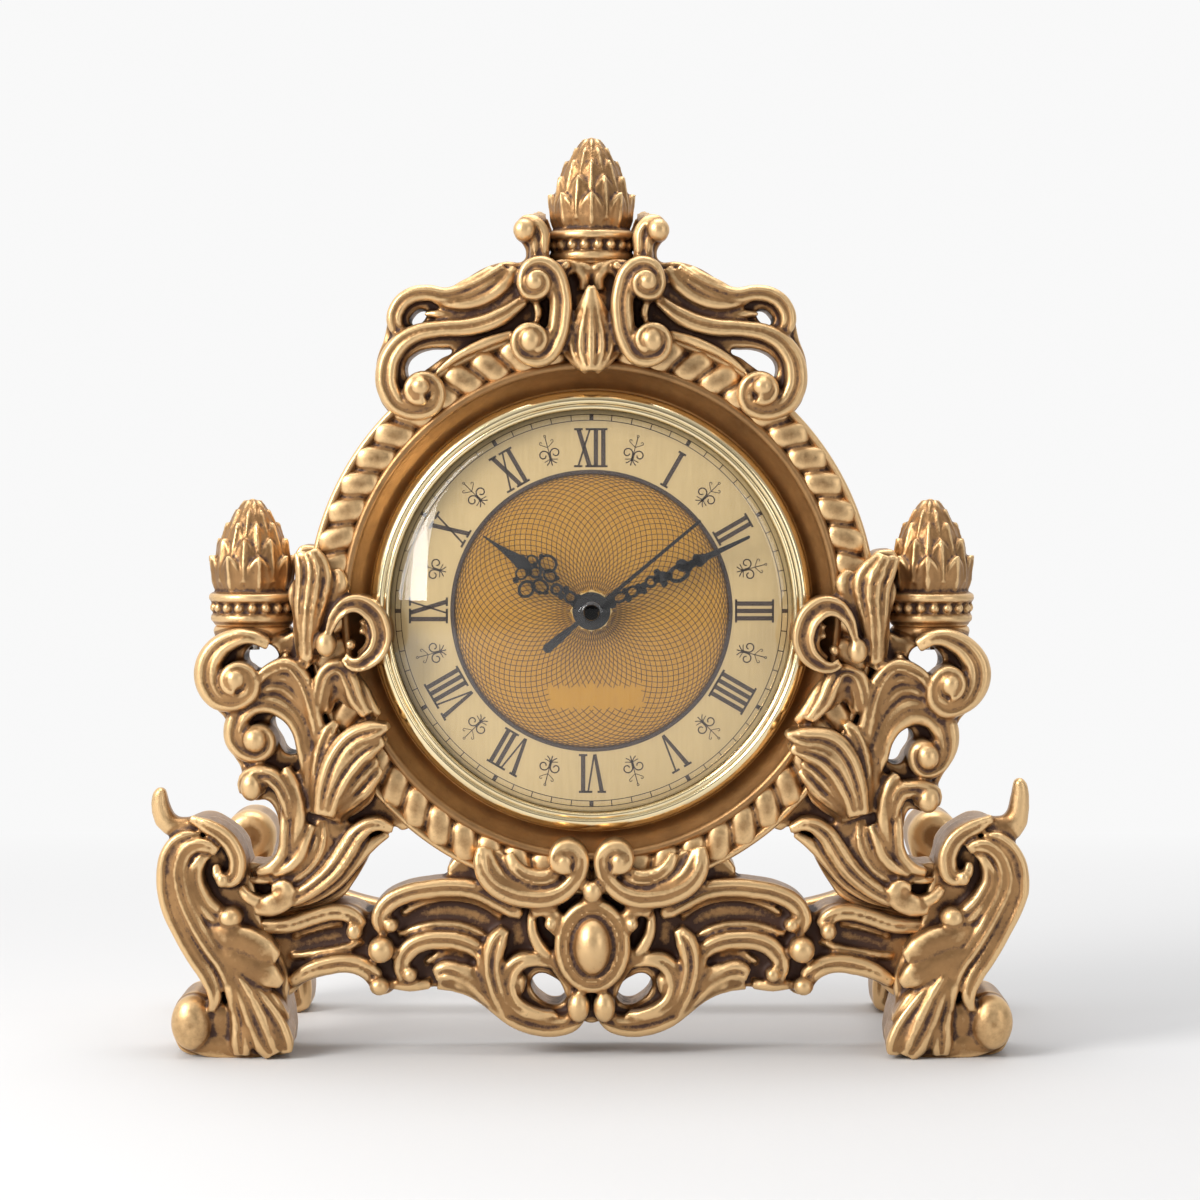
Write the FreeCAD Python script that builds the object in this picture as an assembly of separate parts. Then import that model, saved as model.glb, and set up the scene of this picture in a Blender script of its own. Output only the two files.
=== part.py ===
import FreeCAD, Part
import math
import os
from FreeCAD import Vector

os.makedirs("parts", exist_ok=True)

# Mantel clock in a pierced baroque casting, with a round quartz insert.
# Millimetres, +Z up, the front faces -Y, the origin is on the shelf under the middle of the clock.

# Places on the photograph: the middle, the shelf, the height of the dial axis and the radius of the rim
axis_px = 591
shelf_px = 1060
dial_px = 612.2
rim_px = 286.64
overrun = 1.0
half_turn_deg = 180
run_clearance = 0.05
small_gap = 0.3

# Depths of the front casting, from back to front
casting_back = -16.0
ring_back = -14.0
seat_depth = -28.0
plate_front = -30.0
low_relief = -33.0
mid_relief = -35.5
high_relief = -38.0
proud_relief = -40.0
leg_front = -35.0
leg_relief = -42.0
ridge_end_share = 0.75
boss_shoulder_share = 0.8
boss_crown_share = 0.35
boss_sides = 6

# Battery and the case round it: the insert, the ring and the whole casting follow from these
battery_radius = 7.1
battery_sides = 20
battery_length = 48.6
battery_button_radius = 2.75
battery_button = 1.4
battery_gap = 0.1
battery_recess = 0.5
contact_room = 1.8
contact_thickness = 0.4
contact_width = 8.0
contact_half_height = 5.0
contact_fold = 1.0
contact_tail_share = 0.6
case_wall = 1.2
case_corner = 1.5
train_room = 11.6
bay_wall = 0.8
bay_rim = 2.0
case_width = battery_length + battery_button + 2 * (contact_room + case_wall)
case_height = 2 * (train_room + bay_wall + 2 * (battery_radius + battery_gap) + case_wall)
case_depth = case_wall + battery_gap + 2 * battery_radius + battery_recess
cover_thickness = 1.2
battery_drop = case_height / 2 - case_wall - battery_gap - battery_radius

# Quartz insert: cup and rubber grip, radii about the dial axis and depths from back to front
cup_wall = 1.4
case_cup_gap = 2.5
cup_radius = math.hypot(case_width, case_height) / 2 + case_cup_gap + cup_wall
cup_back = -14.6
cup_flange_width = 5.9
cup_flange_radius = cup_radius + cup_flange_width
cup_flange = 1.0
cup_window_clearance = 0.3
grip_thickness = 1.5
grip_front = -24.0
grip_back = -19.0

# Quartz insert: dial, lens and bezel
dial_margin = 0.8
dial_radius = cup_flange_radius - dial_margin
dial_thickness = 0.8
dial_front = seat_depth - cup_flange - dial_thickness
lens_thickness = 1.0
lens_rise = 6.5
lens_skirt_height = 3.2
lens_skirt_thickness = 1.4
lens_shoulder = 0.4
lens_rim_radius = dial_radius
lens_skirt_radius = lens_rim_radius - lens_skirt_thickness
lens_dome_radius = lens_skirt_radius - lens_shoulder
lens_bend_share = 0.7
bezel_wall = 2.0
bezel_lip = 1.7
bezel_slope = 2.0
bezel_step = 0.8
bezel_roll = 1.4
bezel_skirt_radius = cup_flange_radius + 2 * run_clearance
bezel_radius = bezel_skirt_radius + bezel_wall
bezel_rebate_radius = dial_radius + 2 * run_clearance
bezel_sight_radius = bezel_rebate_radius - bezel_lip
bezel_crown_radius = bezel_sight_radius + bezel_slope
bezel_lip_back = dial_front - lens_skirt_height
bezel_shoulder = dial_front - bezel_step
bezel_crown = bezel_lip_back - bezel_roll

# Ring of the casting, from its bore for the grip out to its rim
bezel_gap = 0.7
well_flare = 3.0
lip_width = 2.8
rope_slope = 0.6
rope_width = 5.6
rim_width = 1.7
bore_radius = cup_radius + grip_thickness
seat_radius = bezel_radius + bezel_gap
lip_inner_radius = seat_radius + well_flare
lip_outer_radius = lip_inner_radius + lip_width
rope_inner_radius = lip_outer_radius + rope_slope
rope_outer_radius = rope_inner_radius + rope_width
rim_inner_radius = rope_outer_radius + rope_slope
rim_outer_radius = rim_inner_radius + rim_width
lip_front = -34.0
rope_floor = -31.5
rope_front = -34.8
rope_sink = 0.8
rim_front = -33.2
well_clear_front = -34.9
rope_pitch_deg = 7.2
rope_skew_deg = 3.6
rope_bar_share = 0.46
rope_end_inset = 1.0
rope_spans_deg = [(21, 33), (46, 77), (122, 153)]
ring_sides = 44

# Scale of the traced places, from the rim, and the height of the dial axis, which runs front to back
mm_per_px = rim_outer_radius / rim_px
dial_height = (shelf_px - dial_px) * mm_per_px

# Outlines of the plates behind the carving, traced over the left half of the photograph
crest_plate_px = [
    (591, 262), (522, 262), (500, 261), (484, 267), (470, 275), (455, 286), (440, 289), (425, 287),
    (410, 291), (398, 300), (389, 313), (382, 340), (376, 356), (374, 372), (376, 390), (382, 406),
    (400, 422), (430, 420), (470, 380), (530, 352), (591, 345)]
crest_holes_px = [
    [(408, 322), (411, 314), (418, 309), (425, 311), (424, 318), (417, 324)],
    [(404, 372), (405, 362), (411, 355), (424, 349), (440, 348), (451, 350), (440, 358), (425, 369),
     (408, 379)]]
side_plate_px = [
    (292, 632), (211, 632), (203, 652), (197, 668), (198, 685), (202, 700), (211, 713), (221, 722),
    (224, 740), (228, 757), (234, 770), (239, 785), (242, 798), (250, 804), (262, 804), (270, 812),
    (275, 830), (277, 845), (270, 858), (258, 865), (240, 858), (232, 880), (245, 915), (300, 915),
    (338, 903), (348, 890), (360, 872), (378, 838), (393, 833), (400, 838), (430, 830), (352, 740),
    (332, 640), (330, 575), (318, 550), (305, 546), (296, 548), (290, 570)]
side_holes_px = [
    [(243, 659), (248, 651), (254, 649), (262, 649), (268, 653), (272, 660), (269, 667), (262, 671),
     (247, 666)],
    [(271, 720), (280, 724), (289, 730), (296, 742), (296, 751), (288, 756), (280, 754), (275, 743),
     (266, 728)]]
apron_plate_px = [
    (225, 905), (262, 925), (331, 911), (352, 912), (368, 918), (378, 912), (395, 900), (420, 890),
    (446, 885), (445, 870), (500, 840), (591, 880), (591, 1032), (583, 1031), (570, 1038), (550, 1039),
    (530, 1034), (510, 1027), (490, 1015), (470, 1001), (455, 994), (405, 994), (393, 993), (388, 999),
    (380, 1002), (371, 999), (364, 985), (345, 979), (320, 983), (300, 990), (284, 1006), (250, 1010)]
apron_holes_px = [
    [(530, 993), (531, 985), (540, 980), (550, 983), (560, 990), (566, 999), (562, 1008), (555, 1012),
     (545, 1009)]]
leg_plate_px = [
    (243, 862), (236, 845), (215, 822), (200, 816), (190, 817), (178, 818), (170, 812), (165, 800),
    (163, 792), (157, 790), (150, 796), (147, 810), (149, 822), (156, 833), (165, 840), (161, 865),
    (161, 880), (165, 900), (172, 920), (182, 937), (195, 955), (205, 975), (211, 1000), (200, 997),
    (190, 994), (178, 1000), (170, 1013), (168, 1030), (171, 1046), (178, 1060), (287, 1060), (290, 1046),
    (287, 1022), (287, 1003), (294, 990), (270, 950), (262, 920), (255, 885)]
rear_leg_px = [
    (222, 838), (236, 842), (246, 853), (250, 868), (246, 884), (240, 900), (252, 930), (268, 960),
    (280, 985), (286, 1015), (289, 1045), (284, 1060), (178, 1060), (170, 1046), (168, 1030), (170, 1013),
    (178, 1000), (190, 994), (203, 998), (205, 975), (192, 945), (182, 915), (184, 885), (194, 855),
    (206, 842)]

# Ridges of the carving: each point is a place and the half width of the ridge there
crest_ridges_px = {
    "lower arm": (mid_relief, [
        (436, 394, 5), (420, 411, 6), (392, 404, 7), (381, 372, 7), (400, 335, 6), (450, 322, 6),
        (525, 303, 4)]),
    "upper arm": (low_relief, [(388, 333, 5), (396, 307, 7), (420, 293, 8), (490, 288, 10), (522, 268, 6)]),
    "bracket": (high_relief, [
        (524, 290, 4), (534, 270, 6), (556, 284, 7), (559, 330, 7), (540, 358, 7), (518, 338, 4)]),
    "post": (mid_relief, [(537, 270, 8), (534, 222, 8)])}
crest_bosses_px = [
    ((421, 390), 13, high_relief), ((535, 284), 12, proud_relief), ((532, 339), 13, proud_relief),
    ((528, 230), 13, mid_relief)]
side_ridges_px = {
    "first scroll": (high_relief, [
        (292, 648, 4), (240, 634, 7), (207, 660, 9), (212, 700, 9), (240, 700, 7)]),
    "second scroll": (mid_relief, [
        (310, 762, 4), (300, 718, 7), (260, 700, 8), (232, 728, 8), (246, 754, 6)]),
    "fan": (high_relief, [(260, 677, 4), (295, 678, 8), (316, 750, 4)]),
    "upright leaf": (mid_relief, [(305, 668, 4), (306, 590, 13), (303, 549, 3)]),
    "curl": (proud_relief, [(336, 624, 4), (352, 606, 6), (376, 626, 6), (368, 656, 6), (341, 655, 3)]),
    "under leaf": (high_relief, [(330, 664, 5), (346, 688, 10), (364, 718, 3)]),
    "great leaf": (proud_relief, [(322, 820, 5), (334, 770, 19), (370, 736, 14), (388, 727, 2)]),
    "stem": (high_relief, [(390, 829, 3), (350, 838, 9), (316, 880, 11), (258, 905, 5)])}
side_bosses_px = [
    ((236, 680), 13, proud_relief), ((254, 739), 13, proud_relief), ((252, 788), 11, proud_relief),
    ((326, 643), 10, high_relief)]
leg_ridges_px = {
    "outer rim": (leg_relief, [
        (176, 842, 5), (167, 875, 7), (182, 930, 7), (230, 1000, 6), (250, 1040, 3)]),
    "inner scroll": (leg_relief, [
        (237, 868, 3), (222, 840, 6), (186, 850, 6), (190, 905, 6), (262, 1010, 3)]),
    "horn": (proud_relief, [(196, 828, 5), (168, 822, 10), (155, 804, 8), (157, 792, 3)]),
    "ankle leaf": (proud_relief, [(232, 936, 5), (262, 958, 9), (284, 984, 2)]),
    "toe": (leg_relief, [(238, 990, 6), (256, 1022, 13), (272, 1048, 8)])}
leg_bosses_px = [((221, 863), 11, leg_relief), ((222, 919), 13, leg_relief)]
foot_ball_px = (189, 1029)
foot_ball_radius_px = 20
foot_ball_shares = [(2.0, 0.9), (1.0, 1.0), (0.3, 0.72)]
apron_ridges_px = {
    "upper moulding": (low_relief, [(262, 932, 4), (344, 918, 5), (357, 930, 5)]),
    "lower moulding": (low_relief, [(288, 992, 4), (350, 970, 6), (376, 990, 6)]),
    "upper arch": (low_relief, [(383, 932, 4), (384, 908, 5), (441, 891, 5), (519, 917, 3)]),
    "lower arch": (low_relief, [(402, 978, 4), (420, 948, 5), (478, 955, 4)]),
    "spray top": (mid_relief, [(500, 1006, 5), (488, 970, 7), (500, 940, 3)]),
    "spray middle": (mid_relief, [(496, 1010, 5), (468, 978, 7), (440, 971, 2)]),
    "eyelet": (mid_relief, [(562, 966, 3), (515, 968, 6), (508, 1005, 6), (564, 1025, 5)]),
    "great curl": (high_relief, [(560, 850, 3), (576, 865, 5), (545, 892, 7), (505, 880, 7), (490, 850, 3)]),
    "small curl": (mid_relief, [(556, 920, 3), (536, 918, 4), (546, 957, 4), (564, 974, 3)])}
apron_bosses_px = [
    ((352, 935), 8, mid_relief), ((377, 991), 9, mid_relief), ((379, 952), 13, proud_relief),
    ((564, 861), 7, proud_relief), ((551, 926), 7, high_relief), ((577, 1010), 12, high_relief)]
cartouche_centre_px = (591, 948)
cartouche_half_px = (20, 30)
cartouche_frame_px = (33, 42)
cartouche_groove_px = (26, 35)
cartouche_sides = 10
cartouche_knob_px = (591, 893)
cartouche_knob_radius_px = 11
bud_px = [(372, 6), (360, 20), (340, 25), (306, 12), (290, 3)]
bud_flutes = 6
bud_axis = -32.0
bud_flute_share = 0.86
# Finials: a pine cone on a beaded collar, pinned on a pedestal of the casting
finial_depth = (casting_back + plate_front) / 2
centre_finial_px = (591, 262)
side_finial_px = (247, 627)
finial_height = 29.9
collar_height = 7.6
collar_radius = 9.9
collar_groove = 0.9
collar_band = 2.2
cone_radius = 9.2
cone_sides = 14
scale_reach = 2.0
scale_valley_share = 0.36
scale_rows_shares = [(0.0, 0.88, 0.36), (0.2, 0.98, 0.56), (0.42, 0.84, 0.76), (0.64, 0.56, 0.92)]
pedestal_height = 7.5
pedestal_radius = 9.4
pin_radius = 1.5
pin_length = 12.0
pin_sink = 6.0
pin_sides = 8

# Rear stand: two legs, side rails and a cross rail, screwed to the back of the front casting
rear_leg_front = 22.0
rear_leg_back = 42.0
roll_px = (221, 867)
roll_radius_px = 29
side_rail_px = 255
rail_top_px = 918
rail_foot_px = 987
side_rail_x = (axis_px - side_rail_px) * mm_per_px
side_rail_width = 9.0
rail_low = (shelf_px - rail_foot_px) * mm_per_px
rail_high = (shelf_px - rail_top_px) * mm_per_px
rail_waist_share = 0.3
rail_bends_shares = [(0.0, 0.0), (0.33, 1.0), (0.67, 1.0), (1.0, 0.0)]
rail_pad_width = 15.0
rail_pad_depth = 5.0
cross_rail_step = 5.0
cross_rail_thickness = 8.0
cross_rail_front = rear_leg_front + cross_rail_step
cross_rail_back = cross_rail_front + cross_rail_thickness
cross_rail_px = [
    (232, 920, 22), (290, 918, 18), (345, 935, 16), (400, 945, 15), (480, 948, 14), (591, 948, 14)]
screw_head_radius = 3.6
screw_head_height = 2.2
screw_radius = 2.0
screw_length = 14.0
screw_bite = 9.0
screw_spread = rail_high - rail_low - 2 * (screw_head_radius + small_gap)

# Movement: the depths of the case, its bushing, nut and washer
case_front = dial_front + dial_thickness
case_floor = case_front + case_wall
case_back = case_front + case_depth - cover_thickness
battery_depth = case_floor + battery_gap + battery_radius
bushing_radius = 3.0
bushing_reach = 2.5
dial_hole_radius = bushing_radius + small_gap
washer_radius = 5.2
washer_thickness = 0.3
nut_across_flats = 8.8
nut_thickness = 1.2
nut_sides = 6

# Gear train: teeth, distances between arbors, their bearings from the three o'clock side
train_distance_third = 10.2
train_distance_second = 9.0
train_distance_rotor = 8.4
motion_distance = 8.0
intermediate_bearing_deg = 62
rotor_bearing_deg = 84
third_bearing_deg = 162
minute_bearing_deg = -22
knob_bearing_deg = 0
rotor_leaves = 6
intermediate_teeth = 36
intermediate_leaves = 6
second_teeth = 30
second_leaves = 6
third_teeth = 45
third_leaves = 6
centre_teeth = 48
cannon_leaves = 10
minute_teeth = 30
minute_leaves = 8
hour_teeth = 32
knob_leaves = 10
tooth_reach_share = 0.62
tooth_root_share = 1.0
gear_thickness = 0.8
leaf_overlap = 0.2
hour_tube_radius = 2.05
minute_tube_radius = 1.45
second_arbor_radius = 0.65
arbor_radius = 0.5
pivot_depth = 0.6

# Gear train: depths of the wheels and of the train plate, stacked up from the floor of the case
floor_gap = 0.4
wheel_gap = 0.5
motor_gap = 0.8
neck_gap = 1.2
train_plate_thickness = 0.8
hour_wheel_front = case_floor + floor_gap
minute_leaves_front = case_floor + small_gap
minute_wheel_front = hour_wheel_front + gear_thickness + wheel_gap
centre_wheel_front = minute_wheel_front + gear_thickness + leaf_overlap + wheel_gap
third_wheel_front = centre_wheel_front + gear_thickness + wheel_gap
train_plate_front = third_wheel_front + gear_thickness + wheel_gap
train_plate_back = train_plate_front + train_plate_thickness
second_wheel_front = train_plate_back + floor_gap
intermediate_leaves_front = train_plate_back + small_gap
intermediate_wheel_front = second_wheel_front + gear_thickness + motor_gap
rotor_magnet_front = intermediate_wheel_front + gear_thickness + motor_gap
rotor_magnet_radius = 2.6
rotor_magnet_length = 1.8
knob_neck_front = train_plate_back + neck_gap
knob_radius = 5.5
knob_height = 3.5
knob_shaft_radius = 0.8
knob_neck_radius = 1.2
knob_flutes = 12
knob_flute_share = 0.9

# Train plate, motor and circuit, with room to the walls of the case
plate_side_room = 2.8
plate_top_room = 7.3
plate_bay_room = 1.6
plate_half_width = case_width / 2 - case_wall - plate_side_room
plate_low = plate_bay_room - train_room
plate_high = case_height / 2 - case_wall - plate_top_room
pillar_radius = 1.4
pillar_inset = 2.0
post_radius = 1.0
stator_sink = 0.2
stator_front = rotor_magnet_front + stator_sink
stator_thickness = 0.8
stator_ring = 2.2
stator_gap = 0.4
stator_arm = 2.2
stator_core = 2.4
stator_end = 1.8
stator_room = 0.7
stator_reach = case_width / 2 - case_wall - stator_room
coil_radius = 2.6
coil_gap = 1.7
coil_lift = 4.0
board_width = 15.0
board_height = 9.0
board_thickness = 0.8
board_inset = 9.0
board_lift = 1.0
board_place_x = board_inset - plate_half_width
board_place_z = plate_high + board_lift
crystal_radius = 1.0
crystal_length = 6.0

# Hands: depths in front of the bushing, lengths from the dial axis and angles clockwise from twelve
hand_thickness = 0.35
hub_gap = 0.25
hand_gap = 0.6
hour_hand_back = case_front - bushing_reach - hub_gap
minute_hand_back = hour_hand_back - hand_thickness - hand_gap
second_hand_back = minute_hand_back - hand_thickness - hand_gap
minute_hand_margin = 8.6
hour_hand_short = 10.0
second_hand_short = 7.0
minute_hand_length = dial_radius - minute_hand_margin
hour_hand_length = minute_hand_length - hour_hand_short
second_hand_length = minute_hand_length - second_hand_short
second_tail_length = 14.3
hour_hand_deg = 304.9
minute_hand_deg = 64.6
second_hand_deg = 50.1
hour_boss_radius = 4.6
minute_boss_radius = 3.8
second_boss_radius = 2.8
cap_height = 1.2
cap_crown_share = 0.6
hand_stem = 1.5
second_stem = 0.7
tail_width = 1.9
hour_lobes_shares = [(0.27, 0.055, 0.075), (0.43, 0.062, 0.085), (0.58, 0.05, 0.07)]
minute_lobes_shares = [(0.25, 0.03, 0.045), (0.37, 0.036, 0.05), (0.50, 0.036, 0.05), (0.62, 0.028, 0.042)]
lobe_hole_share = 0.5
lobe_sides = 8
blade_shares = [(0.66, 0.0), (0.72, 0.045), (0.78, 0.03), (1.0, 0.006)]


def place(point_px, y=0.0):
    """Point of the casting from a place traced over the photograph, at depth y."""
    return Vector((point_px[0] - axis_px) * mm_per_px, y, (shelf_px - point_px[1]) * mm_per_px)


def slab(outline, front, back):
    """Plate between two depths with a straight-sided outline, a list of points."""
    wire = Part.makePolygon(outline + [outline[0]])
    return Part.Face(wire).extrude(Vector(0, back - front, 0))


def plate(outline_px, front, back, holes_px=()):
    """Plate of the casting with its pierced holes."""
    body = slab([place(p, front) for p in outline_px], front, back)
    for hole_px in holes_px:
        hole = [place(p, front - overrun) for p in hole_px]
        body = body.cut(slab(hole, front - overrun, back + overrun))
    return body


def solid_of(faces):
    """Closed solid from flat faces, each a list of corners."""
    shell = Part.makeShell([Part.Face(Part.makePolygon(corners + [corners[0]])) for corners in faces])
    shell.sewShape()
    solid = Part.makeSolid(shell)
    return solid if solid.Volume > 0 else solid.reversed()


def ridge(path_px, front, root=plate_front):
    """Raised scroll or leaf: a ribbon with two slopes that meet in a crest line, lower at its two ends."""
    left, right, crest = [], [], []
    last = len(path_px) - 1
    for i, (x, drop, half) in enumerate(path_px):
        ahead = path_px[min(i + 1, last)]
        behind = path_px[max(i - 1, 0)]
        length = math.hypot(ahead[0] - behind[0], ahead[1] - behind[1])
        across_x = (behind[1] - ahead[1]) / length * half
        across_y = (ahead[0] - behind[0]) / length * half
        left.append(place((x + across_x, drop + across_y), root))
        right.append(place((x - across_x, drop - across_y), root))
        rise = ridge_end_share if i in (0, last) else 1
        crest.append(place((x, drop), root + (front - root) * rise))
    faces = [left + right[::-1], [left[0], right[0], crest[0]], [right[-1], left[-1], crest[-1]]]
    for i in range(last):
        faces.append([left[i + 1], left[i], crest[i]])
        faces.append([left[i + 1], crest[i], crest[i + 1]])
        faces.append([right[i], right[i + 1], crest[i + 1]])
        faces.append([right[i], crest[i + 1], crest[i]])
    return solid_of(faces)


def ring_of_points(centre, radius_x, radius_z, sides):
    """Corners of an even polygon across the front-to-back axis."""
    points = []
    for i in range(sides):
        turn = 2 * math.pi * i / sides
        points.append(centre + Vector(radius_x * math.cos(turn), 0, radius_z * math.sin(turn)))
    return points


def dome(rings, apex):
    """Solid from a stack of even polygons that closes in a point."""
    faces = [rings[0]]
    for low, high in zip(rings, rings[1:]):
        for i in range(len(low)):
            faces.append([low[i - 1], low[i], high[i], high[i - 1]])
    faces += [[rings[-1][i - 1], rings[-1][i], apex] for i in range(len(rings[-1]))]
    return solid_of(faces)


def triangled(rings, apex):
    """Solid from a stack of alike outlines, its walls split into triangles, closed in a point."""
    faces = [rings[0]]
    for low, high in zip(rings, rings[1:]):
        for i in range(len(low)):
            faces += [[low[i - 1], low[i], high[i]], [low[i - 1], high[i], high[i - 1]]]
    faces += [[rings[-1][i - 1], rings[-1][i], apex] for i in range(len(rings[-1]))]
    return solid_of(faces)


def boss(centre_px, radius_px, front, root=plate_front):
    """Domed boss at the heart of a volute, or a bead."""
    radius = radius_px * mm_per_px
    narrow = radius * boss_shoulder_share
    base = ring_of_points(place(centre_px, root), radius, radius, boss_sides)
    top = ring_of_points(place(centre_px, front + radius * boss_crown_share), narrow, narrow, boss_sides)
    return dome([base, top], place(centre_px, front))


def joined(shapes):
    """One solid from overlapping ones."""
    return shapes[0].multiFuse(shapes[1:]).removeSplitter()


def mirrored(shape):
    """The same shape on the other side of the clock."""
    return shape.mirror(Vector(0, 0, 0), Vector(1, 0, 0))


def turned(profile):
    """Ring about the dial axis from a closed outline of (radius, depth), with many narrow flats."""
    def corner(point, i):
        turn = 2 * math.pi * i / ring_sides
        return Vector(point[0] * math.cos(turn), point[1], dial_height + point[0] * math.sin(turn))
    faces = []
    for start, end in zip(profile, profile[1:] + profile[:1]):
        for i in range(ring_sides):
            if start[0] > 0 and end[0] > 0:
                faces.append([corner(start, i), corner(start, i + 1), corner(end, i + 1), corner(end, i)])
            elif start[0] > 0:
                faces.append([corner(start, i), corner(start, i + 1), corner(end, i)])
            elif end[0] > 0:
                faces.append([corner(start, i), corner(end, i + 1), corner(end, i)])
    return solid_of(faces).removeSplitter()


def block(x0, x1, y0, y1, z0, z1):
    """Box between three pairs of limits."""
    return Part.makeBox(x1 - x0, y1 - y0, z1 - z0, Vector(x0, y0, z0))


def save(name, shape):
    """Write one sub-part."""
    shape.exportStep("parts/" + name + ".step")


def rope_bar(angle_deg):
    """One slanted strand of the rope moulding, a roof with its crest along the strand."""
    corners = []
    for radius, slant in ((rope_inner_radius, -1), (rope_outer_radius, 1)):
        for side, y in ((-1, rope_floor + rope_sink), (0, rope_front), (1, rope_floor + rope_sink)):
            turn = math.radians(angle_deg + slant * rope_skew_deg + side * rope_pitch_deg * rope_bar_share)
            inset = rope_end_inset * slant if side == 0 else 0
            corners.append(Vector((radius - inset) * math.sin(turn), y,
                                  dial_height + (radius - inset) * math.cos(turn)))
    a, b, c, d, e, f = corners
    return solid_of([[a, c, f, d], [a, b, c], [d, f, e], [a, d, e], [a, e, b], [c, b, f], [b, e, f]])


def casting_ring():
    """Ring that holds the insert, with its stepped lip and the rope channel."""
    return turned([
        (bore_radius, ring_back), (bore_radius, seat_depth), (seat_radius, seat_depth),
        (lip_inner_radius, lip_front), (lip_outer_radius, lip_front), (rope_inner_radius, rope_floor),
        (rope_outer_radius, rope_floor), (rim_inner_radius, rim_front), (rim_outer_radius, rim_front),
        (rim_outer_radius, ring_back)])


def rope_strands():
    """Strands of the rope where the carving leaves them open, on the left."""
    bars = []
    for first, last in rope_spans_deg:
        for i in range(int((last - first) / rope_pitch_deg) + 1):
            bars.append(rope_bar(-(first + rope_pitch_deg / 2 + i * rope_pitch_deg)))
    return bars


def relief(ridges_px, bosses_px, root=plate_front):
    """All ridges and bosses of one region."""
    shapes = [ridge(path, front, root) for front, path in ridges_px.values()]
    return shapes + [boss(centre, radius, front, root) for centre, radius, front in bosses_px]


def pedestal(base_px):
    """Block of the casting under a finial, wider than the plate."""
    base = place(base_px, finial_depth)
    points = []
    for i in range(boss_sides):
        turn = (i + 0.5) * 2 * math.pi / boss_sides
        points.append(base + Vector(pedestal_radius * math.cos(turn), pedestal_radius * math.sin(turn), 0))
    return Part.Face(Part.makePolygon(points + [points[0]])).extrude(Vector(0, 0, -pedestal_height))


def pin_hole(base_px, clearance=0.0):
    """Dowel between a finial and its pedestal, or the hole for it."""
    base = place(base_px, finial_depth) - Vector(0, 0, pin_sink)
    radius = pin_radius + clearance
    points = []
    for i in range(pin_sides):
        turn = 2 * math.pi * i / pin_sides
        points.append(base + Vector(radius * math.cos(turn), radius * math.sin(turn), 0))
    return Part.Face(Part.makePolygon(points + [points[0]])).extrude(Vector(0, 0, pin_length))


def casting_half():
    """Left half of the carving."""
    shapes = [plate(crest_plate_px, plate_front, casting_back, crest_holes_px)]
    shapes += relief(crest_ridges_px, crest_bosses_px)
    shapes.append(plate(side_plate_px, plate_front, casting_back, side_holes_px))
    shapes += relief(side_ridges_px, side_bosses_px)
    shapes.append(plate(apron_plate_px, plate_front, casting_back, apron_holes_px))
    shapes += relief(apron_ridges_px, apron_bosses_px)
    shapes.append(plate(leg_plate_px, leg_front, casting_back))
    shapes += relief(leg_ridges_px, leg_bosses_px, leg_front)
    radius = foot_ball_radius_px * mm_per_px
    knob = []
    for lift, wide in foot_ball_shares:
        centre = place(foot_ball_px, leg_relief + radius * lift)
        knob.append(ring_of_points(centre, radius * wide, radius * wide, 2 * boss_sides))
    shapes.append(dome(knob, place(foot_ball_px, leg_relief)))
    shapes.append(pedestal(side_finial_px))
    shapes += rope_strands()
    return joined(shapes)


def cartouche():
    """Oval boss in its frame in the middle of the apron, and the knob above it."""
    def oval(y, half_px, share=1.0):
        return ring_of_points(place(cartouche_centre_px, y), half_px[0] * share * mm_per_px,
                              half_px[1] * share * mm_per_px, cartouche_sides)
    frame = slab(oval(mid_relief, cartouche_frame_px), mid_relief, plate_front + overrun)
    groove = slab(oval(mid_relief - overrun, cartouche_groove_px), mid_relief - overrun, low_relief)
    oval_boss = dome([oval(plate_front, cartouche_half_px), oval(mid_relief, cartouche_half_px),
                      oval((high_relief + proud_relief) / 2, cartouche_half_px, boss_shoulder_share)],
                     place(cartouche_centre_px, proud_relief))
    knob = boss(cartouche_knob_px, cartouche_knob_radius_px, high_relief)
    return [frame.cut(groove), oval_boss, knob]


def bud():
    """Fluted bud under the crest, a half-sunk gourd of straight flutes."""
    rings = []
    for drop, half_px in bud_px[:-1]:
        ring = []
        for i in range(2 * bud_flutes):
            radius = half_px * mm_per_px * (1 if i % 2 else bud_flute_share)
            turn = math.pi * i / bud_flutes
            flute = Vector(radius * math.cos(turn), radius * math.sin(turn), 0)
            ring.append(place((axis_px, drop), bud_axis) + flute)
        rings.append(ring)
    return triangled(rings, place((axis_px, bud_px[-1][0]), bud_axis))


def front_casting():
    """The whole pierced casting, one piece as it comes from the mould."""
    left = casting_half()
    body = joined([casting_ring(), left, mirrored(left), pedestal(centre_finial_px), bud()] + cartouche())
    well = turned([(0, ring_back + overrun), (bore_radius, ring_back + overrun), (bore_radius, seat_depth),
                   (seat_radius, seat_depth), (lip_inner_radius, lip_front),
                   (lip_inner_radius, well_clear_front), (0, well_clear_front)])
    body = body.cut(well)
    for base_px in (centre_finial_px, side_finial_px, right_px(side_finial_px)):
        body = body.cut(pin_hole(base_px))
    for x, z in screw_places():
        body = body.cut(peg(screw_radius, casting_back - screw_bite, casting_back + overrun, x, z))
    return body


def right_px(point_px):
    """The same place on the right of the photograph."""
    return (2 * axis_px - point_px[0], point_px[1])


def screw_places():
    """Places of the four stand screws."""
    middle = (rail_low + rail_high) / 2
    return [(side * side_rail_x, middle + end * screw_spread / 2) for side in (-1, 1) for end in (-1, 1)]


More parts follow.
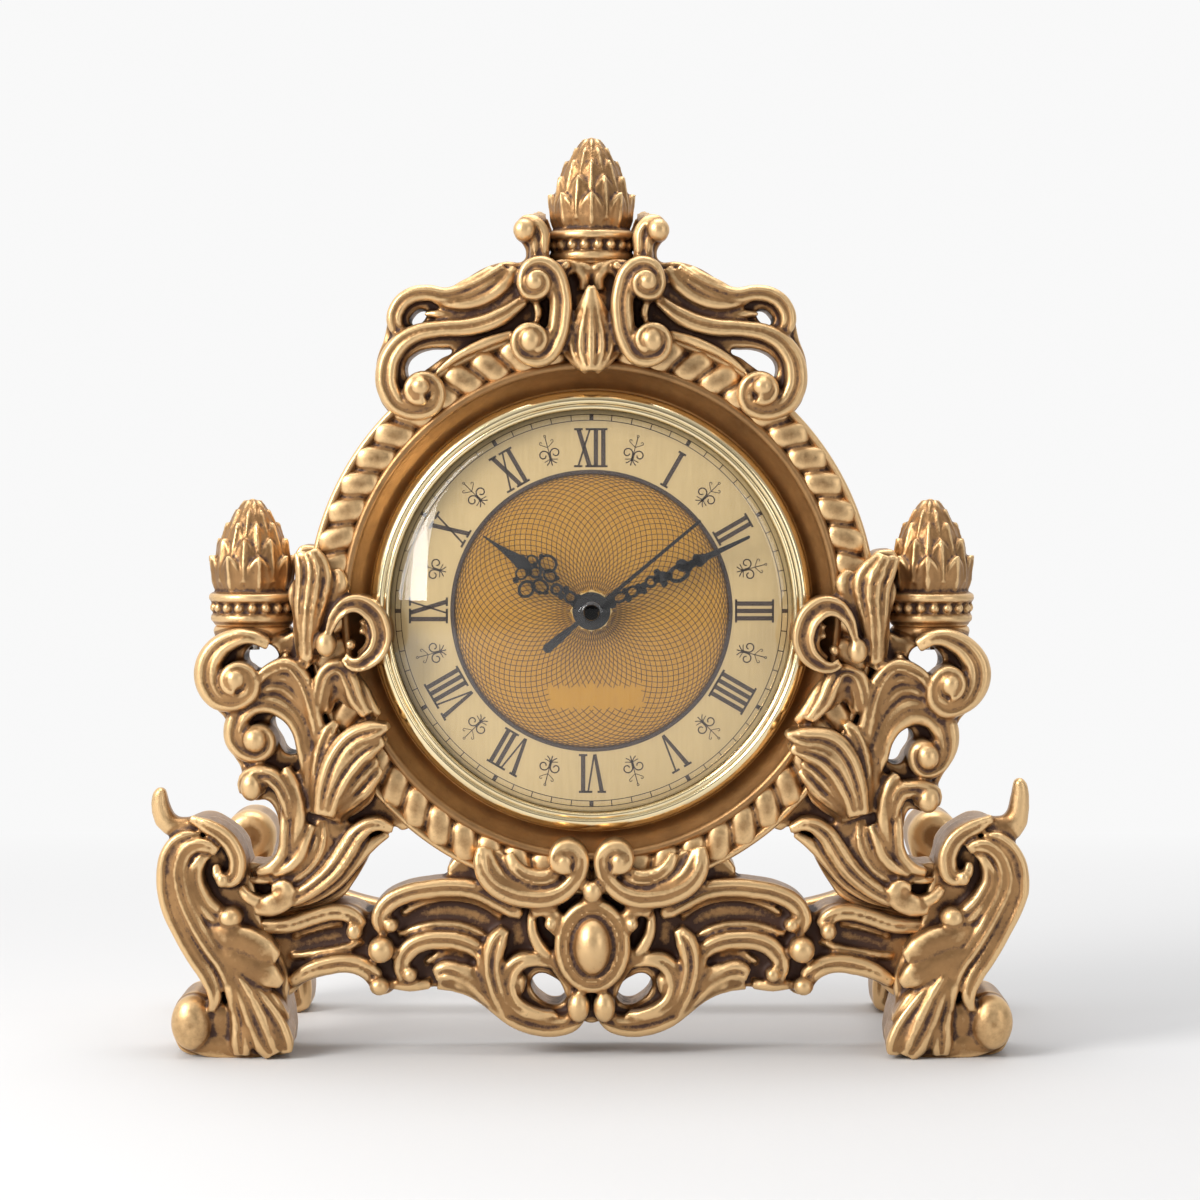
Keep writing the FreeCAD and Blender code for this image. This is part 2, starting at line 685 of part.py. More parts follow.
def rear_stand():
    """Rear legs, side rails and cross rail, one plainer casting behind the front one."""
    radius = roll_radius_px * mm_per_px
    leg = plate(rear_leg_px, rear_leg_front, rear_leg_back)
    roll_ends = ring_of_points(place(roll_px, rear_leg_front), radius, radius, 2 * boss_sides)
    roll = slab(roll_ends, rear_leg_front, rear_leg_back)
    inner = -side_rail_x + side_rail_width / 2
    outer = inner - side_rail_width
    waist = (rail_high - rail_low) * rail_waist_share / 2
    length = rear_leg_front + overrun - casting_back
    side = [Vector(outer, casting_back + length * along, rail_low + waist * bend)
            for along, bend in rail_bends_shares]
    side += [Vector(outer, casting_back + length * along, rail_high - waist * bend)
             for along, bend in rail_bends_shares[::-1]]
    rail = Part.Face(Part.makePolygon(side + [side[0]])).extrude(Vector(side_rail_width, 0, 0))
    pad = block(-side_rail_x - rail_pad_width / 2, -side_rail_x + rail_pad_width / 2,
                casting_back, casting_back + rail_pad_depth, rail_low, rail_high)
    top = [place((x, drop), cross_rail_front) for x, drop, deep in cross_rail_px]
    bottom = [place((x, drop + deep), cross_rail_front) for x, drop, deep in cross_rail_px]
    cross = slab(top + bottom[::-1], cross_rail_front, cross_rail_back)
    left = joined([leg, roll, rail, pad, cross])
    face = casting_back + rail_pad_depth
    for x, z in screw_places()[:2]:
        left = left.cut(peg(screw_radius + run_clearance, casting_back - overrun, face + screw_length, x, z))
        left = left.cut(peg(screw_head_radius + small_gap, face, face + screw_length, x, z))
    return joined([left, mirrored(left)])


def stand_screws():
    """Four pan-head screws through the rail pads into the front casting."""
    screws = []
    face = casting_back + rail_pad_depth
    for x, z in screw_places():
        head = peg(screw_head_radius, face, face + screw_head_height, x, z)
        shank = peg(screw_radius, casting_back - screw_bite + small_gap, face + overrun, x, z)
        screws.append(joined([head, shank]))
    return Part.makeCompound(screws)


def finial(base_px):
    """Pine cone of staggered, turned-out scales on a grooved collar."""
    base = place(base_px, finial_depth)
    inner = collar_radius - collar_groove
    upper = collar_height - collar_band
    rings = [flat_ring(collar_radius, 0), flat_ring(collar_radius, collar_band), flat_ring(inner, collar_band),
             flat_ring(inner, upper), flat_ring(collar_radius, upper), flat_ring(collar_radius, collar_height)]
    cone_height = finial_height - collar_height
    for row, (foot, wide, tip) in enumerate(scale_rows_shares):
        radius = cone_radius * wide
        rings.append(flat_ring(radius, collar_height + cone_height * foot))
        rise = cone_height * (tip - foot)
        rings.append(flat_ring(radius, collar_height + cone_height * foot + rise * scale_valley_share,
                               scale_reach, rise * (1 - scale_valley_share), row % 2))
    body = triangled(rings, Vector(0, 0, finial_height))
    body.translate(base)
    return body.cut(pin_hole(base_px))


def flat_ring(radius, z, reach=0.0, lift=0.0, offset=0):
    """Corners round an upright axis, every second one pulled outwards and up."""
    points = []
    for i in range(cone_sides):
        turn = 2 * math.pi * i / cone_sides
        tip = (i + offset) % 2
        out = radius + reach * tip
        points.append(Vector(out * math.cos(turn), out * math.sin(turn), z + lift * tip))
    return points


def finial_pins():
    """Dowels that hold the three finials on their pedestals."""
    pins = [pin_hole(p, -run_clearance) for p in (centre_finial_px, side_finial_px, right_px(side_finial_px))]
    return Part.makeCompound(pins)


def insert_cup():
    """Metal cup behind the dial, with a flange at its front and a window for the movement at its back."""
    flange_front = seat_depth - cup_flange
    inner = cup_radius - cup_wall
    cup = turned([
        (0, cup_back), (cup_radius, cup_back), (cup_radius, seat_depth), (cup_flange_radius, seat_depth),
        (cup_flange_radius, flange_front), (inner, flange_front), (inner, cup_back - cup_wall),
        (0, cup_back - cup_wall)])
    reach = case_width / 2 + cup_window_clearance
    rise = case_height / 2 + cup_window_clearance
    return cup.cut(block(-reach, reach, cup_back - cup_wall - overrun, cup_back + overrun,
                         dial_height - rise, dial_height + rise))


def grip_ring():
    """Rubber ring round the cup that holds the insert in the bore of the casting."""
    inner = cup_radius + run_clearance
    outer = bore_radius - run_clearance
    return turned([(inner, grip_back), (outer, grip_back), (outer, grip_front), (inner, grip_front)])


def bezel():
    """Stepped and rolled bezel, its lip holds the lens down."""
    foot = seat_depth - cup_flange - run_clearance
    return turned([
        (bezel_skirt_radius, seat_depth), (bezel_radius, seat_depth), (bezel_radius, bezel_shoulder),
        (bezel_crown_radius, bezel_crown), (bezel_sight_radius, bezel_lip_back),
        (bezel_rebate_radius, bezel_lip_back), (bezel_rebate_radius, foot), (bezel_skirt_radius, foot)])


def lens():
    """Moulded clear lens with its skirt standing on the dial."""
    bend = lens_dome_radius * lens_bend_share
    crown = bezel_lip_back - lens_rise
    bend_outer = crown + lens_rise * lens_bend_share ** 2
    skirt_top = bezel_lip_back + lens_thickness
    return turned([
        (lens_rim_radius, dial_front), (lens_rim_radius, bezel_lip_back), (lens_dome_radius, bezel_lip_back),
        (bend, bend_outer), (0, crown), (0, crown + lens_thickness), (bend, bend_outer + lens_thickness),
        (lens_skirt_radius, skirt_top), (lens_skirt_radius, dial_front)])


def dial():
    """Round dial plate with a hole for the movement's bushing."""
    axis = Vector(0, dial_front, dial_height)
    back = dial_front + dial_thickness
    disc = slab(ring_of_points(axis, dial_radius, dial_radius, ring_sides), dial_front, back)
    return disc.cut(peg(dial_hole_radius, dial_front, back))


def case_outline(inset, front, back):
    """Outline of the case with cut corners about the dial axis, drawn in by an inset."""
    side, top = case_width / 2 - inset, case_height / 2 - inset
    across, up = side - case_corner, top - case_corner
    corners = [(side, -up), (side, up), (across, top), (-across, top),
               (-side, up), (-side, -up), (-across, -top), (across, -top)]
    return slab([Vector(x, front, dial_height + z) for x, z in corners], front, back)


def movement_case():
    """Case of the movement: shell, bushing, battery wall, pillars of the train plate and the minute stud."""
    reach = (case_width - case_wall) / 2
    root = case_floor - case_wall / 2
    body = case_outline(0, case_front, case_back).cut(case_outline(case_wall, case_floor, case_back))
    bay = block(-reach, reach, root, case_back,
                dial_height - train_room - bay_wall, dial_height - train_room)
    bushing = peg(bushing_radius, case_front - bushing_reach, case_floor)
    stud = peg(arbor_radius, root, minute_wheel_front + pinion_length(), *minute_place)
    pillars = [peg(pillar_radius, root, train_plate_front, x, z) for x, z in pillar_places()]
    body = joined([body, bay, bushing, stud] + pillars)
    body = body.cut(hole(hour_tube_radius, case_front - bushing_reach, case_floor))
    for radius, at in ((arbor_radius, third_place), (knob_shaft_radius, knob_place)):
        body = body.cut(hole(radius, case_floor - pivot_depth - run_clearance, case_floor, *at))
    return body


def pillar_places():
    """Places of the four pillars under the corners of the train plate."""
    reach = plate_half_width - pillar_inset
    heights = (dial_height + plate_low + pillar_inset, dial_height + plate_high - pillar_inset)
    return [(side * reach, z) for side in (-1, 1) for z in heights]


def movement_cover():
    """Back cover with the battery opening, pivot holes and the hole of the setting knob."""
    back = case_back + cover_thickness
    reach = (battery_length + battery_button) / 2 + small_gap
    cover = case_outline(0, case_back, back)
    cover = cover.cut(block(-reach, reach, case_back, back, dial_height - case_height / 2 + bay_rim,
                            dial_height - train_room - bay_wall))
    for radius, at in ((second_arbor_radius, dial_place), (arbor_radius, intermediate_place),
                       (arbor_radius, rotor_place)):
        cover = cover.cut(hole(radius, case_back, case_back + pivot_depth + run_clearance, *at))
    return cover.cut(hole(knob_neck_radius, case_back, back, *knob_place))


def train_plate():
    """Plate that carries the train, on four pillars, with two posts for the stator."""
    back = train_plate_back
    plate_body = block(-plate_half_width, plate_half_width, train_plate_front, back,
                       dial_height + plate_low, dial_height + plate_high)
    rotor_x, rotor_z = rotor_place
    ring_middle = rotor_magnet_radius + stator_gap + stator_ring / 2
    posts = [peg(post_radius, back - train_plate_thickness / 2, stator_front, x, z) for x, z in (
        (rotor_x - ring_middle, rotor_z), (plate_half_width - pillar_inset, rotor_z))]
    body = joined([plate_body] + posts)
    for radius, at in ((second_arbor_radius, dial_place), (arbor_radius, third_place),
                       (arbor_radius, intermediate_place), (arbor_radius, rotor_place),
                       (knob_shaft_radius, knob_place)):
        body = body.cut(hole(radius, train_plate_front, back, *at))
    return body


def hex_nut():
    """Nut on the bushing that clamps the dial to the movement."""
    washer_front = dial_front - washer_thickness
    corner = nut_across_flats / 2 / math.cos(math.pi / nut_sides)
    axis = Vector(0, washer_front - nut_thickness, dial_height)
    nut = slab(ring_of_points(axis, corner, corner, nut_sides), washer_front - nut_thickness, washer_front)
    return nut.cut(peg(bushing_radius, washer_front - nut_thickness, washer_front))


def dial_washer():
    """Washer between the nut and the dial."""
    front = dial_front - washer_thickness
    return peg(washer_radius, front, dial_front).cut(peg(bushing_radius, front, dial_front))


def lying(radius, length, start, sides):
    """Round piece that lies left to right, with few sides."""
    points = []
    for i in range(sides):
        turn = 2 * math.pi * (i + 1 / 2) / sides
        points.append(start + Vector(0, radius * math.cos(turn), radius * math.sin(turn)))
    return Part.Face(Part.makePolygon(points + [points[0]])).extrude(Vector(length, 0, 0))


def battery():
    """Round cell lying across the foot of the movement, its button to the right."""
    z = dial_height - battery_drop
    start = -(battery_length + battery_button) / 2
    cell = lying(battery_radius, battery_length, Vector(start, battery_depth, z), battery_sides)
    button = lying(battery_button_radius, battery_button, Vector(start + battery_length, battery_depth, z),
                   battery_sides)
    return joined([cell, button])


def contact(side):
    """Folded leaf spring between the end of the cell and the wall of the case."""
    wall = case_width / 2 - case_wall
    thick = contact_thickness
    half = contact_half_height
    tail = -half * contact_tail_share
    strip = [(0, -half), (0, half), (contact_fold, half), (contact_room, 0), (contact_fold, tail),
             (contact_fold - thick, tail), (contact_room - thick, 0), (contact_fold - thick, half - thick),
             (thick, half - thick), (thick, -half)]
    z = dial_height - battery_drop - contact_width / 2
    points = [Vector(side * (wall - x), battery_depth + y, z) for x, y in strip]
    return Part.Face(Part.makePolygon(points + [points[0]])).extrude(Vector(0, 0, contact_width))


def circuit_board():
    """Small circuit board seated on the back of the train plate."""
    x, z = board_place_x, dial_height + board_place_z
    back = train_plate_back + board_thickness
    return block(x - board_width / 2, x + board_width / 2, train_plate_back, back,
                 z - board_height / 2, z + board_height / 2)


def quartz_crystal():
    """Crystal can lying on the circuit board."""
    lift = crystal_radius * math.cos(math.pi / pin_sides)
    axis_y = train_plate_back + board_thickness + lift
    start = Vector(board_place_x - crystal_length / 2, axis_y, dial_height + board_place_z)
    return lying(crystal_radius, crystal_length, start, pin_sides)


def stator():
    """Flat stator of the stepping motor: a ring round the magnet and two arms to the core of the coil."""
    back = stator_front + stator_thickness
    x, z = rotor_place
    bore = rotor_magnet_radius + stator_gap
    ring = peg(bore + stator_ring, stator_front, back, x, z)
    core = block(x, stator_reach, stator_front, back,
                 z + coil_lift - stator_core / 2, z + coil_lift + stator_core / 2)
    arm = block(x, stator_reach, stator_front, back, z - stator_arm / 2, z + stator_arm / 2)
    bridge = block(stator_reach - stator_end, stator_reach, stator_front, back, z, z + coil_lift)
    return joined([ring, core, arm, bridge]).cut(hole(bore, stator_front, back, x, z))


def coil():
    """Coil wound on the core of the stator."""
    x, z = rotor_place
    start = x + rotor_magnet_radius + stator_gap + stator_ring + coil_gap
    end = stator_reach - stator_end - small_gap
    centre = Vector(start, stator_front + stator_thickness / 2, z + coil_lift)
    winding = lying(coil_radius, end - start, centre, pin_sides)
    core = block(start, end, stator_front - run_clearance, stator_front + stator_thickness + run_clearance,
                 centre.z - stator_core / 2 - run_clearance, centre.z + stator_core / 2 + run_clearance)
    return winding.cut(core)


def bearing_place(start, distance, bearing_deg):
    """Place of an arbor at a distance and bearing from another."""
    turn = math.radians(bearing_deg)
    return (start[0] + distance * math.cos(turn), start[1] + distance * math.sin(turn))


dial_place = (0.0, dial_height)
intermediate_place = bearing_place(dial_place, train_distance_second, intermediate_bearing_deg)
rotor_place = bearing_place(intermediate_place, train_distance_rotor, rotor_bearing_deg)
third_place = bearing_place(dial_place, train_distance_third, third_bearing_deg)
minute_place = bearing_place(dial_place, motion_distance, minute_bearing_deg)
knob_place = bearing_place(minute_place, motion_distance, knob_bearing_deg)


def peg(radius, front, back, x=0.0, z=dial_height):
    """Small rod, tube wall or disc with few sides."""
    return slab(ring_of_points(Vector(x, front, z), radius, radius, pin_sides), front, back)


def hole(radius, front, back, x=0.0, z=dial_height):
    """Running hole for a rod of that radius."""
    return peg((radius + run_clearance) / math.cos(math.pi / pin_sides), front, back, x, z)


def pinion_length():
    """Length of a pinion that meshes with a wheel and overlaps it at both faces."""
    return gear_thickness + 2 * leaf_overlap


def toothed(teeth, distance, mate_teeth, front, thickness, at, phase):
    """Wheel or pinion with pointed teeth, sized by its distance to its mate."""
    module = 2 * distance / (teeth + mate_teeth)
    points = []
    for i in range(2 * teeth):
        change = -tooth_root_share if i % 2 else tooth_reach_share
        reach = teeth * module / 2 + change * module
        turn = phase + i * math.pi / teeth
        points.append(Vector(at[0] + reach * math.cos(turn), front, at[1] + reach * math.sin(turn)))
    return slab(points, front, front + thickness)


def mesh_phase(teeth, mate_teeth, bearing_deg):
    """Turn of a pinion whose gap meets the wheel's tooth, for a wheel with a tooth at bearing zero."""
    bearing = math.radians(bearing_deg)
    lead = bearing * teeth / (2 * math.pi)
    return bearing + math.pi - (1 / 2 - lead) * 2 * math.pi / mate_teeth


def hour_wheel():
    """Hour wheel on its tube."""
    wheel = toothed(hour_teeth, motion_distance, minute_leaves, hour_wheel_front, gear_thickness,
                    dial_place, 0)
    front = hour_hand_back - hand_thickness
    back = hour_wheel_front + gear_thickness
    return joined([wheel, peg(hour_tube_radius, front, back)]).cut(hole(minute_tube_radius, front, back))


def cannon_pinion():
    """Minute tube with its pinion, its tail carries the centre wheel with friction."""
    front = minute_hand_back - hand_thickness
    back = centre_wheel_front + gear_thickness + leaf_overlap
    leaves = toothed(cannon_leaves, motion_distance, minute_teeth, minute_wheel_front - leaf_overlap,
                     pinion_length(), dial_place,
                     mesh_phase(minute_teeth, cannon_leaves, minute_bearing_deg + half_turn_deg))
    body = joined([leaves, peg(minute_tube_radius, front, back)])
    return body.cut(hole(second_arbor_radius, front, back))


def minute_wheel():
    """Minute wheel with its pinion, on the stud of the case."""
    wheel = toothed(minute_teeth, motion_distance, cannon_leaves, minute_wheel_front, gear_thickness,
                    minute_place, 0)
    leaves = toothed(minute_leaves, motion_distance, hour_teeth, minute_leaves_front,
                     minute_wheel_front + leaf_overlap - minute_leaves_front, minute_place,
                     mesh_phase(hour_teeth, minute_leaves, minute_bearing_deg))
    back = minute_wheel_front + gear_thickness
    return joined([wheel, leaves]).cut(hole(arbor_radius, minute_leaves_front, back, *minute_place))


def centre_wheel():
    """Centre wheel on the tail of the cannon pinion."""
    wheel = toothed(centre_teeth, train_distance_third, third_leaves, centre_wheel_front, gear_thickness,
                    dial_place, 0)
    return wheel.cut(hole(minute_tube_radius, centre_wheel_front, centre_wheel_front + gear_thickness))


def third_wheel():
    """Third wheel with its pinion and arbor."""
    wheel = toothed(third_teeth, train_distance_third, second_leaves, third_wheel_front, gear_thickness,
                    third_place, 0)
    leaves_front = centre_wheel_front - leaf_overlap
    leaves = toothed(third_leaves, train_distance_third, centre_teeth, leaves_front,
                     third_wheel_front + leaf_overlap - leaves_front, third_place,
                     mesh_phase(centre_teeth, third_leaves, third_bearing_deg))
    arbor = peg(arbor_radius, case_floor - pivot_depth, train_plate_front + pivot_depth, *third_place)
    return joined([wheel, leaves, arbor])


def second_wheel():
    """Second wheel, its pinion and the long arbor of the second hand."""
    wheel = toothed(second_teeth, train_distance_second, intermediate_leaves, second_wheel_front,
                    gear_thickness, dial_place, 0)
    leaves = toothed(second_leaves, train_distance_third, third_teeth, third_wheel_front - leaf_overlap,
                     pinion_length(), dial_place,
                     mesh_phase(third_teeth, second_leaves, third_bearing_deg + half_turn_deg))
    arbor = peg(second_arbor_radius, second_hand_back - hand_thickness, case_back + pivot_depth)
    return joined([wheel, leaves, arbor])


def intermediate_wheel():
    """Intermediate wheel with its pinion and arbor."""
    wheel = toothed(intermediate_teeth, train_distance_rotor, rotor_leaves, intermediate_wheel_front,
                    gear_thickness, intermediate_place, 0)
    leaves = toothed(intermediate_leaves, train_distance_second, second_teeth, intermediate_leaves_front,
                     intermediate_wheel_front + leaf_overlap - intermediate_leaves_front, intermediate_place,
                     mesh_phase(second_teeth, intermediate_leaves, intermediate_bearing_deg))
    arbor = peg(arbor_radius, train_plate_front + leaf_overlap, case_back + pivot_depth, *intermediate_place)
    return joined([wheel, leaves, arbor])


def rotor():
    """Rotor of the stepping motor: round magnet, pinion and arbor."""
    leaves = toothed(rotor_leaves, train_distance_rotor, intermediate_teeth,
                     intermediate_wheel_front - leaf_overlap, pinion_length(), rotor_place,
                     mesh_phase(intermediate_teeth, rotor_leaves, rotor_bearing_deg))
    magnet_back = rotor_magnet_front + rotor_magnet_length
    magnet = peg(rotor_magnet_radius, rotor_magnet_front, magnet_back, *rotor_place)
    arbor = peg(arbor_radius, train_plate_front + leaf_overlap, case_back + pivot_depth, *rotor_place)
    return joined([leaves, magnet, arbor])


def setting_knob():
    """Knob on the back that turns the hands, with its shaft and pinion."""
    x, z = knob_place
    leaves = toothed(knob_leaves, motion_distance, minute_teeth, minute_wheel_front - leaf_overlap,
                     pinion_length(), knob_place, mesh_phase(minute_teeth, knob_leaves, knob_bearing_deg))
    knob_front = case_back + cover_thickness + small_gap
    shaft = peg(knob_shaft_radius, case_floor - pivot_depth, knob_neck_front + leaf_overlap, x, z)
    neck = peg(knob_neck_radius, knob_neck_front, knob_front + overrun, x, z)
    grip = []
    for i in range(2 * knob_flutes):
        reach = knob_radius * (1 if i % 2 else knob_flute_share)
        turn = math.pi * i / knob_flutes
        grip.append(Vector(x + reach * math.cos(turn), knob_front, z + reach * math.sin(turn)))
    return joined([leaves, shaft, neck, slab(grip, knob_front, knob_front + knob_height)])


def flat_shape(points, back):
    """Thin flat shape of a hand from points of (across, up) about the dial axis."""
    front = back - hand_thickness
    return slab([Vector(x, front, dial_height + z) for x, z in points], front, back)


def oval_points(up, half_wide, half_tall):
    """Corners of an upright oval at a height above the dial axis."""
    points = []
    for i in range(lobe_sides):
        turn = 2 * math.pi * i / lobe_sides
        points.append((half_wide * math.sin(turn), up + half_tall * math.cos(turn)))
    return points


def pierced_hand(length, boss_radius, tube_radius, back, lobes_shares, turn_deg):
    """Hour or minute hand: a row of pierced lobes on a stem, and a slender spade at the end."""
    solids = [flat_shape(oval_points(0, boss_radius, boss_radius), back)]
    stem = hand_stem / 2
    top = length * blade_shares[1][0]
    solids.append(flat_shape([(-stem, 0), (stem, 0), (stem, top), (-stem, top)], back))
    for up, wide, tall in lobes_shares:
        solids.append(flat_shape(oval_points(length * up, length * wide, length * tall), back))
    right = [(length * wide, length * up) for up, wide in blade_shares]
    left = [(-x, z) for x, z in right[:0:-1]]
    solids.append(flat_shape(right + left, back))
    body = joined(solids)
    for up, wide, tall in lobes_shares:
        eye = oval_points(length * up, length * wide * lobe_hole_share, length * tall * lobe_hole_share)
        body = body.cut(flat_shape(eye, back))
    body.rotate(Vector(0, 0, dial_height), Vector(0, 1, 0), turn_deg)
    return body.cut(peg(tube_radius, back - hand_thickness, back))


def second_hand():
    """Needle with a paddle on its tail."""
    back = second_hand_back
    stem = second_stem / 2
    tail = tail_width / 2
    needle = [(-stem, 0), (stem, 0), (stem / 2, second_hand_length), (-stem / 2, second_hand_length)]
    paddle = [(-stem, 0), (-tail, -second_tail_length), (tail, -second_tail_length), (stem, 0)]
    body = joined([flat_shape(oval_points(0, second_boss_radius, second_boss_radius), back),
                   flat_shape(needle, back), flat_shape(paddle, back)])
    body.rotate(Vector(0, 0, dial_height), Vector(0, 1, 0), second_hand_deg)
    return body.cut(peg(second_arbor_radius, back - hand_thickness, back))


def hub_cap():
    """Domed cap on the end of the second arbor."""
    back = second_hand_back - hand_thickness
    radius = second_boss_radius
    shoulder = radius * math.sqrt(cap_crown_share)
    foot_ring = ring_of_points(Vector(0, back, dial_height), radius, radius, pin_sides)
    crown_back = Vector(0, back - cap_height * cap_crown_share, dial_height)
    crown_ring = ring_of_points(crown_back, shoulder, shoulder, pin_sides)
    return dome([foot_ring, crown_ring], Vector(0, back - cap_height, dial_height))


save("front_casting", front_casting())
save("rear_stand", rear_stand())
save("stand_screws", stand_screws())
save("finial_centre", finial(centre_finial_px))
save("finial_left", finial(side_finial_px))
save("finial_right", finial(right_px(side_finial_px)))
save("finial_pins", finial_pins())
save("insert_cup", insert_cup())
save("grip_ring", grip_ring())
save("bezel", bezel())
save("lens", lens())
save("dial", dial())
save("dial_washer", dial_washer())
save("hex_nut", hex_nut())
save("movement_case", movement_case())
save("movement_cover", movement_cover())
save("battery", battery())
save("positive_contact", contact(1))
save("negative_contact", contact(-1))
save("circuit_board", circuit_board())
save("quartz_crystal", quartz_crystal())
save("coil", coil())
save("stator", stator())
save("train_plate", train_plate())
save("rotor", rotor())
save("intermediate_wheel", intermediate_wheel())
save("second_wheel", second_wheel())
save("third_wheel", third_wheel())
save("centre_wheel", centre_wheel())
save("cannon_pinion", cannon_pinion())
save("minute_wheel", minute_wheel())
save("hour_wheel", hour_wheel())
save("setting_knob", setting_knob())
save("hour_hand", pierced_hand(hour_hand_length, hour_boss_radius, hour_tube_radius, hour_hand_back,
                               hour_lobes_shares, hour_hand_deg))
save("minute_hand", pierced_hand(minute_hand_length, minute_boss_radius, minute_tube_radius, minute_hand_back,
                                 minute_lobes_shares, minute_hand_deg))
save("second_hand", second_hand())
save("hub_cap", hub_cap())
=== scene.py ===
import math
import bmesh
import bpy
import numpy as np
from mathutils import Matrix, Vector


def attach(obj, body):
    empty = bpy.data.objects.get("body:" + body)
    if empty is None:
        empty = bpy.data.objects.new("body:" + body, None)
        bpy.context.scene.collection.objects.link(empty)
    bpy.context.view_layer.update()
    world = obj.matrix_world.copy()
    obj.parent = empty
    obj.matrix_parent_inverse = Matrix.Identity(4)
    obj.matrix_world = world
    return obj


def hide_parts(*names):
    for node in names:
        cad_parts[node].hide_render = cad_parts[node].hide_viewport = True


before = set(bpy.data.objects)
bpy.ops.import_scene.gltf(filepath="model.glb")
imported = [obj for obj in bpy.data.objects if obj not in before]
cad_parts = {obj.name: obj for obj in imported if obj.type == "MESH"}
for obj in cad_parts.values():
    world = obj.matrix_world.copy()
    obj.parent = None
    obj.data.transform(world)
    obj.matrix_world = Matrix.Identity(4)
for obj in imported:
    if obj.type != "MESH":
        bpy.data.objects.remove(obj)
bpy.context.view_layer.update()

# Front casting: one pierced casting of scrolls, leaves and a rope ring, cast, gilded and rubbed with
# dark patina. Strokes laid over a traced plate are fused and smoothed, as a modeller works in wax.
MM = 0.001
MM_PER_PX = 0.23199
AXIS_PX = 591
SHELF_PX = 1060
DIAL_HEIGHT = 103.886
PLATE_BACK = 16.0
PLATE_FRONT = 30.0
LOW, MID, HIGH, PROUD = 33.0, 35.5, 38.0, 40.5
LEG_PLATE, LEG_TOP = 34.0, 41.0
TO_FACE = Matrix.Rotation(math.radians(90), 4, "X")


def spot(px, py, out=0.0):
    """Point of the facade from a place traced over the photo, so many millimetres before the axis plane."""
    return Vector(((px - AXIS_PX) * MM_PER_PX, (SHELF_PX - py) * MM_PER_PX, out)) * MM


def linked(name, data):
    """Object made around a mesh, curve, lamp or camera and put into the scene."""
    obj = bpy.data.objects.new(name, data)
    bpy.context.scene.collection.objects.link(obj)
    return obj


def mesh_object(name, bm):
    """Object made of a bmesh, which is used up."""
    mesh = bpy.data.meshes.new(name)
    bm.to_mesh(mesh)
    bm.free()
    return linked(name, mesh)


# Half width of a stroke's foot, as a share of its top's.
SECTION_FOOT = 0.96


def section(points, skirt):
    """Closed outline that a stroke is drawn with: its top side and a straight skirt down into the plate."""
    curve = bpy.data.curves.new("section", "CURVE")
    curve.dimensions = "2D"
    spline = curve.splines.new("POLY")
    outline = list(points) + [(SECTION_FOOT, -skirt), (-SECTION_FOOT, -skirt)]
    spline.points.add(len(outline) - 1)
    for point, (x, y) in zip(spline.points, outline):
        point.co = (x, y, 0, 1)
    spline.use_cyclic_u = True
    return linked("section", curve)


ROUND_TOP = [(-math.cos(math.pi * i / 8), 0.75 * math.sin(math.pi * i / 8)) for i in range(9)]
CHANNEL_TOP = [
    (-1, 0), (-0.98, 0.35), (-0.85, 0.6), (-0.68, 0.62), (-0.5, 0.4), (-0.25, 0.22), (0, 0.16),
    (0.25, 0.22), (0.5, 0.4), (0.68, 0.62), (0.85, 0.6), (0.98, 0.35), (1, 0)]
ROLL_TOP = [
    (-1, 0), (-0.95, 0.3), (-0.8, 0.55), (-0.6, 0.68), (-0.35, 0.68), (-0.1, 0.5), (0.05, 0.42),
    (0.2, 0.5), (0.4, 0.6), (0.62, 0.55), (0.82, 0.35), (0.95, 0.1), (1, 0)]
LEAF_TOP = [(math.sin(math.pi * (i / 24 - 0.5)), 0.62 * math.cos(math.pi * (i / 24 - 0.5)) ** 0.7
             - 0.17 * (1 - math.cos(6 * math.pi * i / 24)) * math.sin(math.pi * i / 24)) for i in range(25)]
SWELL_TOP = [(x, 0.55 * y) for x, y in ROUND_TOP]
# Each kind of stroke has its top side and its rise, and is drawn so much fuller than it is traced.
TOPS = {"round": (ROUND_TOP, 0.75), "channel": (CHANNEL_TOP, 0.62), "roll": (ROLL_TOP, 0.68),
        "leaf": (LEAF_TOP, 0.62), "swell": (SWELL_TOP, 0.41)}
FULLER = {"round": 1.25, "channel": 1.1, "roll": 1.12, "leaf": 1.35, "swell": 1.0}
LEAF_FROM = 4.6
SKIRTS = (0.4, 1.2, 2.5, 5.0, 9.0)


def volute(centre, start, end, start_deg, turns, half, tip, lift=0.0):
    """Points of a spiral round a centre: radii and half widths from start to end, turning by turns."""
    steps = max(4, round(abs(turns) * 9))
    points = []
    for i in range(1, steps + 1):
        share = i / steps
        turn = math.radians(start_deg + 360 * turns * share)
        radius = start + (end - start) * share ** 0.85
        points.append((centre[0] + radius * math.cos(turn), centre[1] + radius * math.sin(turn),
                       half + (tip - half) * share, lift * share))
    return points


